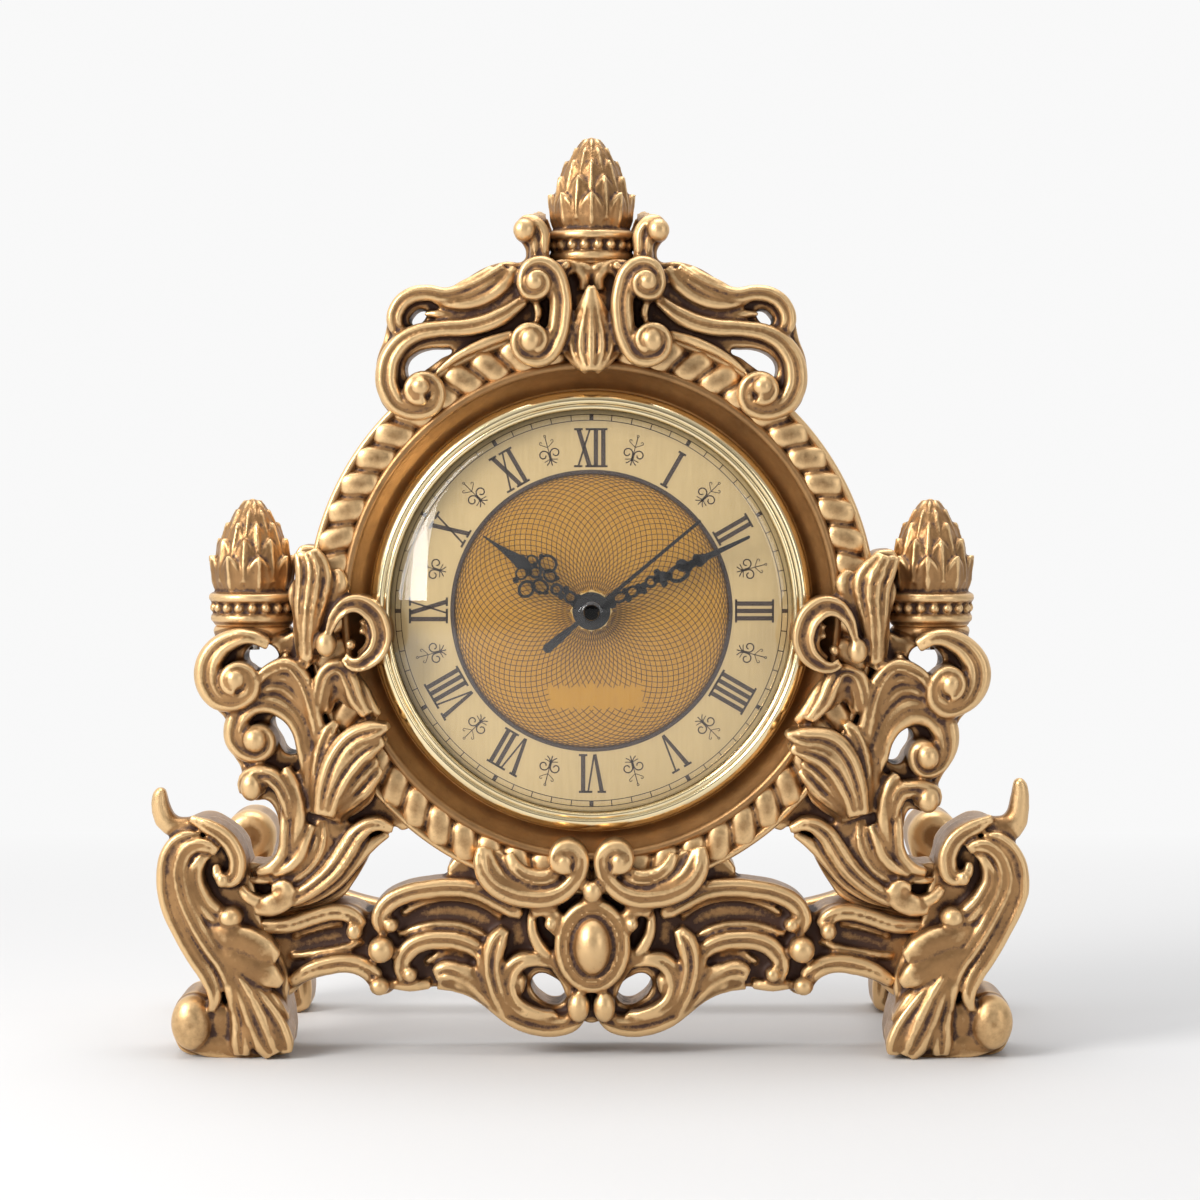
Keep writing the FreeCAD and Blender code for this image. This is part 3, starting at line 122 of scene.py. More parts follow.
def strokes_mesh(bm, strokes, root):
    """Draw the strokes (front, kind, points) as swept sections and add them to the bmesh."""
    groups = {}
    for front, kind, points in strokes:
        mean = sum(p[2] for p in points) / len(points) * MM_PER_PX
        if kind == "round" and mean > LEAF_FROM * MM_PER_PX and len(points) > 3:
            kind = "leaf"
        need = (front - root) / mean
        skirt = next((s for s in SKIRTS if s >= need), SKIRTS[-1])
        groups.setdefault((kind, skirt), []).append((front, points))
    for (kind, skirt), members in sorted(groups.items()):
        top, rise = TOPS[kind]
        profile = section(top, skirt)
        curve = bpy.data.curves.new("strokes", "CURVE")
        curve.dimensions = "3D"
        curve.twist_mode = "Z_UP"
        curve.bevel_mode = "OBJECT"
        curve.bevel_object = profile
        curve.use_fill_caps = True
        curve.resolution_u = 4
        for front, points in members:
            spline = curve.splines.new("BEZIER")
            spline.bezier_points.add(len(points) - 1)
            last = len(points) - 1
            for i, (knot, point) in enumerate(zip(spline.bezier_points, points)):
                half = point[2] * MM_PER_PX * FULLER[kind]
                lift = point[3] if len(point) > 3 else (-1.0 if i in (0, last) else 0.0)
                knot.co = spot(point[0], point[1], front + lift - rise * half)
                knot.radius = half * MM
                knot.handle_left_type = knot.handle_right_type = "AUTO"
        obj = linked("strokes", curve)
        add_evaluated(bm, obj)
        bpy.data.objects.remove(obj)
        bpy.data.objects.remove(profile)


def add_evaluated(bm, obj):
    """Add an object's finished mesh to the bmesh, in its own coordinates."""
    bpy.context.view_layer.update()
    depsgraph = bpy.context.evaluated_depsgraph_get()
    mesh = bpy.data.meshes.new_from_object(obj.evaluated_get(depsgraph), depsgraph=depsgraph)
    bm.from_mesh(mesh)
    bpy.data.meshes.remove(mesh)


def ball(bm, place_px, half, front, root, tall=1.0, rise=0.85):
    """Round boss with a skirt down to the plate; tall stretches it upwards."""
    radius = half * MM_PER_PX * MM
    centre = spot(place_px[0], place_px[1], front) - Vector((0, 0, radius * rise))
    made = bmesh.ops.create_uvsphere(bm, u_segments=24, v_segments=16, radius=1)["verts"]
    bmesh.ops.scale(bm, vec=(radius, radius * tall, radius * rise), verts=made)
    bmesh.ops.translate(bm, vec=centre, verts=made)
    for vert in made:
        if vert.co.z < centre.z:
            vert.co.z = min(vert.co.z, root * MM)


def plate(bm, outline_px, front, back, holes_px=(), edge=0.7):
    """Plate with rounded edges and pierced holes, its outline smoothed through the traced places."""
    curve = bpy.data.curves.new("plate", "CURVE")
    curve.dimensions = "2D"
    curve.fill_mode = "BOTH"
    curve.extrude = ((front - back) / 2 - edge) * MM
    curve.bevel_depth = edge * MM
    curve.bevel_resolution = 2
    curve.offset = -edge * MM
    curve.resolution_u = 5
    for loop in [outline_px] + list(holes_px):
        spline = curve.splines.new("BEZIER")
        spline.bezier_points.add(len(loop) - 1)
        for knot, (px, py) in zip(spline.bezier_points, loop):
            knot.co = spot(px, py)
            knot.handle_left_type = knot.handle_right_type = "AUTO"
        spline.use_cyclic_u = True
    obj = linked("plate", curve)
    first = len(bm.verts)
    add_evaluated(bm, obj)
    bm.verts.ensure_lookup_table()
    bmesh.ops.translate(bm, vec=(0, 0, (front + back) / 2 * MM), verts=bm.verts[first:])
    bpy.data.objects.remove(obj)


def averaged(values, start, end, count, rounds):
    """Values at the points of a mesh, averaged with their neighbours several times."""
    degree = np.bincount(start, minlength=count) + np.bincount(end, minlength=count)
    for _ in range(rounds):
        total = [np.bincount(start, values[end, k], count) + np.bincount(end, values[start, k], count)
                 for k in range(values.shape[1])]
        values = 0.5 * values + 0.5 * np.stack(total, 1) / np.maximum(degree, 1)[:, None]
    return values


def mark_relief(mesh, fine=10, broad=70, fine_mm=0.13, broad_mm=1.5):
    """Store how far each point stands above or below its surroundings, near and far, as an attribute."""
    count = len(mesh.vertices)
    co = np.empty(count * 3)
    mesh.vertices.foreach_get("co", co)
    co = co.reshape(-1, 3)
    normal = np.empty(count * 3)
    mesh.vertices.foreach_get("normal", normal)
    normal = normal.reshape(-1, 3)
    edges = np.empty(len(mesh.edges) * 2, np.int64)
    mesh.edges.foreach_get("vertices", edges)
    start, end = edges[0::2], edges[1::2]
    near = averaged(co, start, end, count, fine)
    far = averaged(near, start, end, count, broad)
    small = ((co - near) * normal).sum(1) / (fine_mm * MM)
    # the broad depth below the surroundings, which the antique gold paints as shade in its hollows
    large = ((near - far) * normal).sum(1) / (broad_mm * MM)
    both = np.stack([small, large], 1)
    both = averaged(both, start, end, count, 2)
    colour = np.ones((count, 4))
    colour[:, 0] = np.clip(0.5 + 0.5 * both[:, 0], 0, 1)
    colour[:, 1] = np.clip(0.5 + 0.5 * both[:, 1], 0, 1)
    colour[:, 2] = 0.5
    attribute = mesh.color_attributes.new("relief", "FLOAT_COLOR", "POINT")
    attribute.data.foreach_set("color", colour.ravel())


def cast(name, bm, voxel, smooth=3):
    """Fuse the overlapping strokes into one skin, smooth it and stand it in the facade."""
    rough = mesh_object(name + "_rough", bm)
    remesh = rough.modifiers.new("fuse", "REMESH")
    remesh.mode = "VOXEL"
    remesh.voxel_size = voxel * MM
    soften = rough.modifiers.new("soften", "SMOOTH")
    soften.factor = 0.5
    soften.iterations = smooth
    skin = bmesh.new()
    add_evaluated(skin, rough)
    bpy.data.objects.remove(rough)
    bmesh.ops.transform(skin, matrix=TO_FACE, verts=skin.verts)
    for vert in skin.verts:
        vert.co.z = max(vert.co.z, 0.0)
    obj = mesh_object(name, skin)
    obj.data.shade_smooth()
    mark_relief(obj.data)
    return obj


# How firmly a place keeps to where the mirror puts it, against the pulls round it.
HOLD = 0.35


def other_side(obj, name, nudges):
    """The mirrored twin of a cast piece, with its own small departures pulled in at listed places."""
    mesh = obj.data.copy()
    mesh.transform(Matrix.Scale(-1, 4, (1, 0, 0)))
    mesh.flip_normals()
    co = np.empty(len(mesh.vertices) * 3)
    mesh.vertices.foreach_get("co", co)
    co = co.reshape(-1, 3)
    shift = np.zeros_like(co)
    weight = np.full(len(co), HOLD)
    for (px, py), (to_px, to_py), reach in nudges:
        near = spot(px, py)
        move = spot(to_px, to_py) - near
        gap = ((co[:, 0] - near.x) ** 2 + (co[:, 2] - near.y) ** 2) / (reach * MM_PER_PX * MM) ** 2
        pull = np.exp(-gap)
        shift += pull[:, None] * np.array([move.x, 0, move.y])
        weight += pull
    co += shift / np.maximum(weight, 1)[:, None]
    co[:, 2] = np.maximum(co[:, 2], 0)
    mesh.vertices.foreach_set("co", co.ravel())
    mesh.update()
    return linked(name, mesh)


def node_group(name, inputs, outputs):
    """Empty shader group with named sockets; inputs are (name, type, value)."""
    group = bpy.data.node_groups.new(name, "ShaderNodeTree")
    for label, kind, value in inputs:
        socket = group.interface.new_socket(label, in_out="INPUT", socket_type=kind)
        socket.default_value = value
    for label, kind in outputs:
        group.interface.new_socket(label, in_out="OUTPUT", socket_type=kind)
    return group, group.nodes.new("NodeGroupInput"), group.nodes.new("NodeGroupOutput")


def add_node(tree, kind, values=(), **settings):
    """New node with its settings and the given input values or links."""
    node = tree.nodes.new(kind)
    for key, value in settings.items():
        setattr(node, key, value)
    for socket, value in dict(values).items():
        if isinstance(value, bpy.types.NodeSocket):
            tree.links.new(value, node.inputs[socket])
        else:
            node.inputs[socket].default_value = value
    return node


def math_node(tree, operation, a, b):
    """Result of a sum or product of two values or links."""
    return add_node(tree, "ShaderNodeMath", {0: a, 1: b}, operation=operation).outputs[0]


def plus(tree, total, value, weight, middle=0.0):
    """Total plus a weight times the value, counted from a middle."""
    if middle:
        value = math_node(tree, "SUBTRACT", value, middle)
    return math_node(tree, "ADD", total, math_node(tree, "MULTIPLY", value, weight))


def noise(tree, scale, detail=4.0, rough=0.6, vector=None):
    """Noise over the object's own place."""
    if vector is None:
        vector = add_node(tree, "ShaderNodeTexCoord").outputs["Object"]
    return add_node(tree, "ShaderNodeTexNoise", {"Vector": vector, "Scale": scale, "Detail": detail,
                                                 "Roughness": rough}).outputs["Fac"]


def remap(tree, value, low, high, to_low=0.0, to_high=1.0):
    """Value stretched from one range to another, held at its ends."""
    return add_node(tree, "ShaderNodeMapRange", {"Value": value, "From Min": low, "From Max": high,
                                                 "To Min": to_low, "To Max": to_high}).outputs["Result"]


def blend_colour(tree, share, a, b):
    """Mix of two colours."""
    node = add_node(tree, "ShaderNodeMix", {0: share}, data_type="RGBA")
    for socket, value in ((node.inputs[6], a), (node.inputs[7], b)):
        if isinstance(value, bpy.types.NodeSocket):
            tree.links.new(value, socket)
        else:
            socket.default_value = value
    return node.outputs[2]


def patina_and_shade_group():
    """Dark wax left in the fine creases, painted shade that darkens the broader hollows, worn bright gold
    on the ridges, and small pits of the casting.
    """
    group, given, result = node_group("patina_and_shade", [
        ("Gold", "NodeSocketColor", (0.5, 0.33, 0.13, 1)), ("Worn", "NodeSocketColor", (0.8, 0.6, 0.3, 1)),
        ("Wax And Shade", "NodeSocketColor", (0.05, 0.025, 0.012, 1))],
        [("Color", "NodeSocketColor"), ("Share Of Wax And Shade", "NodeSocketFloat"), ("Roughness", "NodeSocketFloat"),
         ("Height", "NodeSocketFloat")])
    relief = add_node(group, "ShaderNodeVertexColor", layer_name="relief").outputs["Color"]
    parts = add_node(group, "ShaderNodeSeparateColor", {0: relief})
    fine, broad = parts.outputs[0], parts.outputs[1]
    grain = noise(group, 900.0, 5.0, 0.65)
    blotch = noise(group, 140.0, 4.0, 0.6)
    # how deep a point lies, and how dark the grain and blotches make it, as the share of dark: real wax
    # from the fine creases, painted shade from the broad depth
    low = math_node(group, "MULTIPLY", remap(group, fine, 0.46, 0.08), 0.85)
    # painted shade: the broad depth darkens whole hollows in the wax colour, as if they were shadowed
    low = plus(group, low, remap(group, broad, 0.40, 0.02), 0.55)
    low = plus(group, low, grain, 1.5, 0.52)
    low = plus(group, low, blotch, 0.8, 0.55)
    wax_and_shade = remap(group, low, 0.16, 0.78)
    # how far it stands out, as the share of worn gold
    high = math_node(group, "ADD", remap(group, fine, 0.56, 0.85), remap(group, broad, 0.56, 0.85))
    worn = remap(group, plus(group, high, grain, 0.9, 0.5), 0.3, 1.1)
    gold = blend_colour(group, remap(group, blotch, 0.35, 0.7), given.outputs["Gold"],
                        blend_colour(group, 0.35, given.outputs["Gold"], given.outputs["Wax And Shade"]))
    gold = blend_colour(group, worn, gold, given.outputs["Worn"])
    group.links.new(blend_colour(group, wax_and_shade, gold, given.outputs["Wax And Shade"]), result.inputs["Color"])
    group.links.new(wax_and_shade, result.inputs["Share Of Wax And Shade"])
    rough = add_node(group, "ShaderNodeMix", {0: wax_and_shade, 2: remap(group, grain, 0.3, 0.7, 0.3, 0.46), 3: 0.62})
    group.links.new(rough.outputs[0], result.inputs["Roughness"])
    pits = plus(group, math_node(group, "MULTIPLY", grain, 0.5), blotch, 0.5)
    group.links.new(pits, result.inputs["Height"])
    return group


def new_material(name):
    """New material with its node tree and its surface shader."""
    material = bpy.data.materials.new(name)
    material.use_nodes = True
    tree = material.node_tree
    shader = tree.nodes["Principled BSDF"]
    return material, tree, shader


# Antique gold: real wax patina in the fine creases, painted shade in the broader hollows, worn gold on the
# ridges
antique_gold, tree, shader = new_material("antique_gold")
rubbed_and_shaded = add_node(tree, "ShaderNodeGroup", node_tree=patina_and_shade_group())
rubbed_and_shaded.inputs["Gold"].default_value = (0.39, 0.215, 0.088, 1)
rubbed_and_shaded.inputs["Worn"].default_value = (0.76, 0.51, 0.255, 1)
rubbed_and_shaded.inputs["Wax And Shade"].default_value = (0.050, 0.018, 0.008, 1)
tree.links.new(rubbed_and_shaded.outputs["Color"], shader.inputs["Base Color"])
tree.links.new(rubbed_and_shaded.outputs["Roughness"], shader.inputs["Roughness"])
tree.links.new(remap(tree, rubbed_and_shaded.outputs["Share Of Wax And Shade"], 0.0, 1.0, 0.8, 0.15), shader.inputs["Metallic"])


def bumped(material, height, strength, distance):
    """Give a material's surface a small relief from a height."""
    tree = material.node_tree
    bump = add_node(tree, "ShaderNodeBump", {"Height": height, "Strength": strength, "Distance": distance})
    tree.links.new(bump.outputs["Normal"], tree.nodes["Principled BSDF"].inputs["Normal"])


bumped(antique_gold, rubbed_and_shaded.outputs["Height"], 0.35, 0.0003)


def gilded(obj, *nodes):
    """Finish a cast piece in antique gold and let it stand for its CAD node."""
    obj.data.materials.clear()
    obj.data.materials.append(antique_gold)
    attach(obj, "clock")
    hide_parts(*nodes)


# Crest: two long arms that curl round pierced eyes, a bracket scroll on each side of the fluted bud,
# and a rolled post beside the centre finial; all part of the front casting.
crest_plate_px = [
    (591, 262), (555, 262), (546, 250), (545, 224), (536, 219), (526, 217), (517, 222), (515, 232),
    (521, 241), (525, 250), (523, 260), (505, 261), (484, 267), (470, 275), (455, 286), (440, 289),
    (425, 287), (410, 291), (398, 300), (389, 313), (382, 340), (376, 356), (374, 372), (376, 390),
    (382, 406), (400, 420), (430, 420), (470, 392), (530, 366), (591, 360)]
crest_holes_px = [
    [(408, 322), (411, 314), (418, 309), (425, 311), (424, 318), (417, 324)],
    [(404, 372), (405, 362), (411, 355), (424, 349), (440, 348), (451, 350), (440, 358), (425, 369),
     (408, 379)]]
crest_strokes = [
    (MID, "roll", [
        (524, 300, 5), (500, 317, 8), (470, 327, 8), (440, 329, 7), (412, 335, 8), (394, 350, 9),
        (386, 372, 10), (389, 393, 10), (402, 408, 9)]
     + volute((421, 392), 21, 7, 110, -1.15, 8, 5, 2.0)),
    (LOW + 1.5, "round", [
        (505, 268, 5), (488, 280, 6), (466, 291, 7), (445, 296, 6), (426, 293, 6), (408, 297, 6),
        (397, 308, 6), (394, 322, 6), (400, 334, 5)]),
    (LOW + 1.5, "round", [(515, 268, 4), (503, 286, 5), (482, 300, 5), (458, 305, 4), (434, 300, 3)]),
    (LOW, "round", [
        (520, 280, 3), (509, 299, 4), (488, 312, 5), (462, 317, 4), (436, 314, 3), (424, 314, 2)]),
    (LOW + 0.8, "round", [(492, 268, 3), (478, 278, 4), (462, 286, 4), (450, 292, 3)]),
    (LOW + 0.8, "round", [(510, 272, 2), (496, 286, 3), (474, 297, 3), (452, 300, 2)]),
    (LOW, "round", [(524, 288, 3), (514, 306, 4), (494, 318, 4), (470, 321, 3)]),
    (PROUD - 1, "roll", volute((536, 284), 14, 6, 180, -0.9, 6, 4, 1.5)[::-1] + [
        (526, 276, 7), (535, 267, 8), (550, 272, 10), (559, 292, 10), (560, 318, 10), (554, 342, 10),
        (543, 357, 9)] + volute((532, 342), 17, 8, 70, 1.0, 8, 5, 1.0)),
    (MID, "round", [(531, 296, 2), (538, 311, 3), (536, 324, 2)]),
    (MID, "round", [(540, 266, 7), (539, 248, 7), (537, 234, 9), (529, 228, 10), (523, 231, 8)]),
    (LOW, "round", [(532, 262, 3), (533, 248, 3), (534, 238, 3)]),
    (LOW, "round", [(556, 263, 3), (572, 266, 5), (583, 276, 5), (582, 290, 3)]),
    (LOW, "round", [(575, 262, 2), (587, 268, 3), (591, 276, 3)]),
    (MID, "round", [(437, 372, 2), (458, 356, 3), (485, 343, 4), (512, 334, 3)]),
    (LOW + 0.8, "swell", [(508, 282, 12), (484, 294, 14), (458, 301, 11), (438, 303, 6)])]
crest_balls = [
    ((420, 387), 10, HIGH, 1.0), ((535, 283), 10, PROUD + 0.6, 1.0), ((531, 341), 13, PROUD + 0.6, 1.1),
    ((524, 231), 11, HIGH - 0.5, 1.05), ((566, 266), 4, MID, 1.0), ((570, 272), 3, LOW, 1.0)]
BUD_PX, BUD_HALF_PX, BUD_RIBS = (AXIS_PX, 342), 27, 9
RIB_SHARE, RIB_THINNER, BUD_ROUND = 0.125, 0.35, 0.93
bud_rows = [(288, 3), (300, 9), (315, 16), (332, 24), (347, 27), (360, 21), (371, 9)]

# Size of the voxels that fuse a casting, in millimetres: finer for the finials, coarser for plainer pieces.
VOXEL = 0.45
FINIAL_VOXEL, APRON_VOXEL, REAR_VOXEL = 0.8 * VOXEL, 1.2 * VOXEL, 1.3 * VOXEL


def bud_strokes():
    """Flutes of the bud, each a rib bowed out from the middle line and back."""
    strokes = []
    for i in range(BUD_RIBS):
        share = math.sin(math.pi * (i / (BUD_RIBS - 1) - 0.5))
        points = []
        for drop, half in bud_rows:
            lift = (math.sqrt(1 - (share * BUD_ROUND) ** 2) - 1) * half * MM_PER_PX
            rib = max(1.0, half * RIB_SHARE * (1 - RIB_THINNER * abs(share)))
            points.append((AXIS_PX + share * half, drop, rib, lift))
        strokes.append((HIGH + 1.0, "round", points))
    return strokes


def half_piece(outline_px, holes_px, strokes, balls, plate_front):
    """Bmesh of one side: its plate, with the strokes and balls that stand on it."""
    bm = bmesh.new()
    plate(bm, outline_px, plate_front, PLATE_BACK, holes_px)
    strokes_mesh(bm, strokes, plate_front)
    for place_px, half, front, tall in balls:
        ball(bm, place_px, half, front, plate_front - 2, tall)
    return bm


def mirrored_copy(bm, across):
    """Add a copy of the whole bmesh, mirrored by a scale with one -1, and give back its points."""
    copied = bmesh.ops.duplicate(bm, geom=bm.verts[:] + bm.edges[:] + bm.faces[:])["geom"]
    verts = [part for part in copied if isinstance(part, bmesh.types.BMVert)]
    faces = [part for part in copied if isinstance(part, bmesh.types.BMFace)]
    bmesh.ops.scale(bm, vec=across, verts=verts)
    bmesh.ops.reverse_faces(bm, faces=faces)
    return verts


LEFT_TO_RIGHT, FRONT_TO_BACK = (-1, 1, 1), (1, 1, -1)
CENTRE_FINIAL_PX = (591, 262)
FINIAL_OUT = 23.0
pedestal_profile = [
    (0.0, -8.5), (7.8, -8.5), (7.5, -7.0), (7.7, -5.2), (8.5, -3.4), (9.2, -2.3), (9.4, -1.3),
    (9.1, -0.5), (8.6, -0.2), (0.0, -0.2)]


def lathe(bm, profile, centre, steps=72):
    """Spin an outline of (radius, height) in millimetres about an upright line through a point."""
    verts = [bm.verts.new(centre + Vector((radius, height, 0)) * MM) for radius, height in profile]
    edges = [bm.edges.new(pair) for pair in zip(verts, verts[1:])]
    bmesh.ops.spin(bm, geom=verts + edges, cent=centre, axis=(0, 1, 0), angle=2 * math.pi, steps=steps,
                   use_merge=True)


crest_bm = half_piece(crest_plate_px, crest_holes_px, crest_strokes, crest_balls, PLATE_FRONT)
mirrored_copy(crest_bm, LEFT_TO_RIGHT)
lathe(crest_bm, pedestal_profile, spot(*CENTRE_FINIAL_PX, FINIAL_OUT))
strokes_mesh(crest_bm, bud_strokes(), PLATE_FRONT)
ball(crest_bm, BUD_PX, BUD_HALF_PX, HIGH + 0.2, PLATE_FRONT, 1.12, 1.0)
gilded(cast("crest", crest_bm, VOXEL), "front_casting")

# Side carving: a leaf fan, two C scrolls round pierced eyes, a great leaf over the ring and long
# stems that run down behind the leg; the left side is modelled, the right is its twin by another hand.
side_plate_px = [
    (292, 632), (225, 632), (207, 644), (199, 662), (197, 682), (202, 700), (213, 713), (221, 722),
    (222, 740), (228, 757), (236, 770), (239, 785), (242, 798), (250, 804), (262, 804), (270, 812),
    (275, 830), (277, 845), (270, 862), (258, 868), (244, 868), (232, 880), (245, 915), (300, 915),
    (338, 903), (350, 888), (360, 872), (378, 838), (393, 831), (400, 835), (415, 815), (352, 740),
    (332, 640), (330, 575), (318, 550), (305, 546), (296, 548), (292, 580)]
side_holes_px = [
    [(240, 660), (244, 651), (254, 645), (265, 646), (273, 652), (275, 660), (270, 668), (258, 673),
     (246, 670)],
    [(269, 720), (280, 722), (289, 729), (296, 741), (297, 751), (290, 757), (281, 755), (275, 744),
     (267, 728)]]
side_strokes = [
    (HIGH, "roll", [
        (268, 645, 5), (250, 637, 6), (230, 640, 9), (213, 653, 11), (206, 672, 12), (210, 691, 11),
        (222, 702, 9)] + volute((236, 682), 20, 8, 95, -1.0, 8, 5, 1.5)),
    (MID + 1, "roll", [
        (305, 778, 4), (303, 752, 7), (297, 727, 8), (282, 710, 9), (261, 704, 9), (243, 711, 10),
        (234, 728, 11), (236, 745, 10)] + volute((255, 741), 16, 5, 140, -0.95, 9, 6, 1.5)),
    (HIGH, "round", [
        (289, 818, 4), (285, 799, 6), (277, 784, 6), (263, 776, 7), (251, 783, 11), (251, 794, 10)]),
    # fan over the second eye
    (HIGH, "round", [
        (253, 690, 3), (261, 676, 4), (273, 668, 5), (287, 665, 5), (299, 675, 6), (308, 693, 6),
        (314, 715, 5), (319, 742, 5)]),
    (HIGH - 1, "round", [
        (260, 684, 3), (274, 677, 4), (290, 681, 4), (302, 697, 4), (310, 720, 4), (315, 750, 3)]),
    (MID + 1, "round", [
        (250, 697, 3), (262, 690, 3), (278, 688, 4), (292, 697, 4), (304, 712, 4), (311, 738, 4)]),
    (MID, "round", [
        (248, 703, 2), (266, 697, 3), (284, 699, 3), (297, 710, 3), (306, 730, 3), (309, 755, 3)]),
    # upright leaf
    (MID, "round", [(302, 668, 4), (300, 640, 5), (297, 612, 5), (293, 592, 5), (296, 580, 2)]),
    (HIGH, "round", [
        (304, 668, 4), (304, 636, 5), (302, 608, 6), (304, 585, 7), (303, 565, 6), (298, 552, 4)]),
    (HIGH + 0.8, "round", [(307, 660, 4), (308, 622, 5), (312, 592, 6), (314, 568, 6), (308, 551, 4)]),
    (HIGH, "round", [
        (310, 652, 3), (313, 626, 5), (320, 600, 6), (324, 580, 6), (321, 562, 5), (313, 549, 3)]),
    (MID + 1, "round", [(312, 645, 3), (321, 621, 4), (333, 600, 6), (340, 582, 6), (336, 569, 3)]),
    (MID, "round", [(315, 640, 3), (329, 621, 4), (341, 603, 4), (346, 586, 3)]),
    # curl over the ring, with beads
    (PROUD, "channel", [
        (328, 634, 3), (338, 613, 6), (354, 603, 8), (370, 609, 9), (380, 625, 9), (380, 644, 9),
        (369, 659, 8), (354, 664, 6), (344, 656, 4)]),
    (HIGH - 1, "round", [(360, 620, 2), (368, 632, 3), (367, 646, 3), (357, 654, 2)]),
    # leaf under the bead
    (HIGH + 0.5, "round", [
        (316, 712, 4), (319, 688, 5), (328, 670, 6), (340, 668, 7), (349, 682, 7), (356, 700, 6),
        (366, 716, 4)]),
    (HIGH - 0.5, "round", [(324, 712, 3), (326, 692, 4), (333, 680, 4), (341, 686, 4), (344, 700, 3)]),
    (MID + 1, "round", [(352, 676, 4), (362, 692, 5), (370, 708, 5), (378, 716, 3)]),
    # great leaf
    (HIGH, "round", [(316, 815, 5), (317, 785, 6), (320, 755, 6), (328, 733, 6), (336, 722, 3)]),
    (PROUD, "round", [
        (321, 815, 6), (327, 782, 8), (339, 754, 9), (354, 738, 9), (372, 731, 8), (388, 727, 2)]),
    (PROUD, "round", [(326, 815, 6), (336, 788, 8), (351, 764, 9), (367, 749, 8), (384, 741, 3)]),
    (HIGH + 1, "round", [(330, 815, 5), (344, 794, 6), (360, 774, 7), (377, 760, 3)]),
    (HIGH, "round", [(333, 816, 5), (346, 801, 8), (361, 789, 8), (373, 776, 6), (381, 769, 3)]),
    (MID, "round", [(340, 818, 4), (352, 808, 6), (364, 798, 6), (372, 788, 3)]),
    (MID + 1, "round", [(308, 812, 4), (308, 785, 5), (310, 760, 5), (313, 735, 3)]),
    (MID, "round", [(299, 815, 3), (301, 790, 4), (298, 772, 3)]),
    # narrow upright leaf
    (HIGH - 0.5, "round", [(290, 858, 3), (297, 832, 5), (297, 808, 6), (291, 786, 6), (284, 768, 3)]),
    (MID, "round", [(283, 862, 3), (286, 835, 4), (286, 812, 4), (282, 796, 2)]),
    # stems
    (HIGH, "round", [
        (392, 831, 3), (374, 825, 5), (357, 834, 7), (346, 850, 8), (333, 869, 8), (315, 886, 7),
        (296, 898, 6), (276, 906, 4)]),
    (MID, "round", [
        (386, 836, 3), (368, 848, 5), (352, 866, 5), (335, 885, 5), (312, 899, 5), (290, 908, 3)]),
    (MID + 1, "round", [(320, 824, 4), (318, 846, 6), (310, 863, 6), (296, 876, 6), (278, 884, 4)]),
    (HIGH - 0.5, "round", [(311, 826, 3), (304, 843, 4), (298, 858, 5), (287, 869, 4), (272, 876, 3)]),
    (MID, "round", [(326, 826, 3), (327, 850, 4), (318, 870, 5), (303, 884, 5), (286, 892, 3)]),
    (HIGH - 1, "round", [(283, 806, 3), (283, 832, 4), (281, 854, 5), (270, 869, 5), (254, 874, 3)]),
    (MID, "round", [(288, 870, 3), (274, 879, 4), (258, 883, 3), (246, 882, 2)]),
    (HIGH, "round", [(238, 889, 4), (246, 898, 5), (256, 903, 5), (266, 901, 4)]),
    (HIGH + 0.5, "swell", [(252, 912, 5), (268, 907, 11), (283, 899, 11), (284, 889, 8), (270, 889, 4)]),
    (MID - 0.5, "swell", [(298, 806, 10), (320, 822, 15), (344, 838, 13), (356, 846, 8)]),
    (HIGH, "swell", [(324, 818, 16), (338, 784, 22), (358, 756, 19), (384, 736, 5)]),
    (MID + 0.8, "swell", [(332, 818, 12), (350, 797, 14), (373, 779, 5)]),
    (MID, "swell", [(352, 842, 12), (334, 862, 16), (308, 884, 16), (278, 899, 9)]),
    (MID + 0.3, "swell", [(318, 832, 10), (312, 855, 14), (292, 876, 11), (268, 884, 6)]),
    (MID + 0.5, "swell", [(284, 688, 8), (302, 704, 11), (311, 745, 9)]),
    (MID + 1.5, "swell", [(306, 664, 10), (306, 622, 14), (313, 590, 18), (311, 562, 10)]),
    (MID + 1, "swell", [(320, 712, 9), (334, 688, 12), (354, 700, 11), (372, 716, 5)])]
side_balls = [
    ((235, 679), 11, HIGH + 1.8, 1.0), ((254, 740), 12, HIGH + 1.2, 1.05),
    ((250, 787), 11, HIGH + 0.8, 1.35), ((326, 644), 10, PROUD, 1.25), ((350, 645), 5, HIGH, 1.1),
    ((362, 631), 3.5, HIGH - 0.5, 1.0), ((284, 656), 3, MID, 1.0)]
side_bm = half_piece(side_plate_px, side_holes_px, side_strokes, side_balls, PLATE_FRONT)
LEFT_FINIAL_PX = (247, 627)
lathe(side_bm, [(0.0, -4.4), (8.0, -4.4)] + pedestal_profile[4:], spot(*LEFT_FINIAL_PX, FINIAL_OUT))
# Places of the left side as the mirror shows them, where the right side has them, and each pull's reach.
side_nudges = [
    ((924, 660), (935, 665), 22), ((985, 682), (988, 681), 30), ((946, 682), (950, 692), 25),
    ((899, 738), (903, 748), 25), ((927, 741), (926, 767), 28), ((932, 787), (927, 805), 25),
    ((879, 550), (895, 556), 30), ((856, 644), (856, 655), 22), ((826, 632), (830, 638), 30),
    ((794, 727), (783, 737), 32), ((935, 627), (935, 627), 40), ((935, 600), (935, 600), 40)]
side_left = cast("side_left", side_bm, VOXEL)
gilded(side_left, "front_casting")
gilded(other_side(side_left, "side_right", side_nudges), "front_casting")

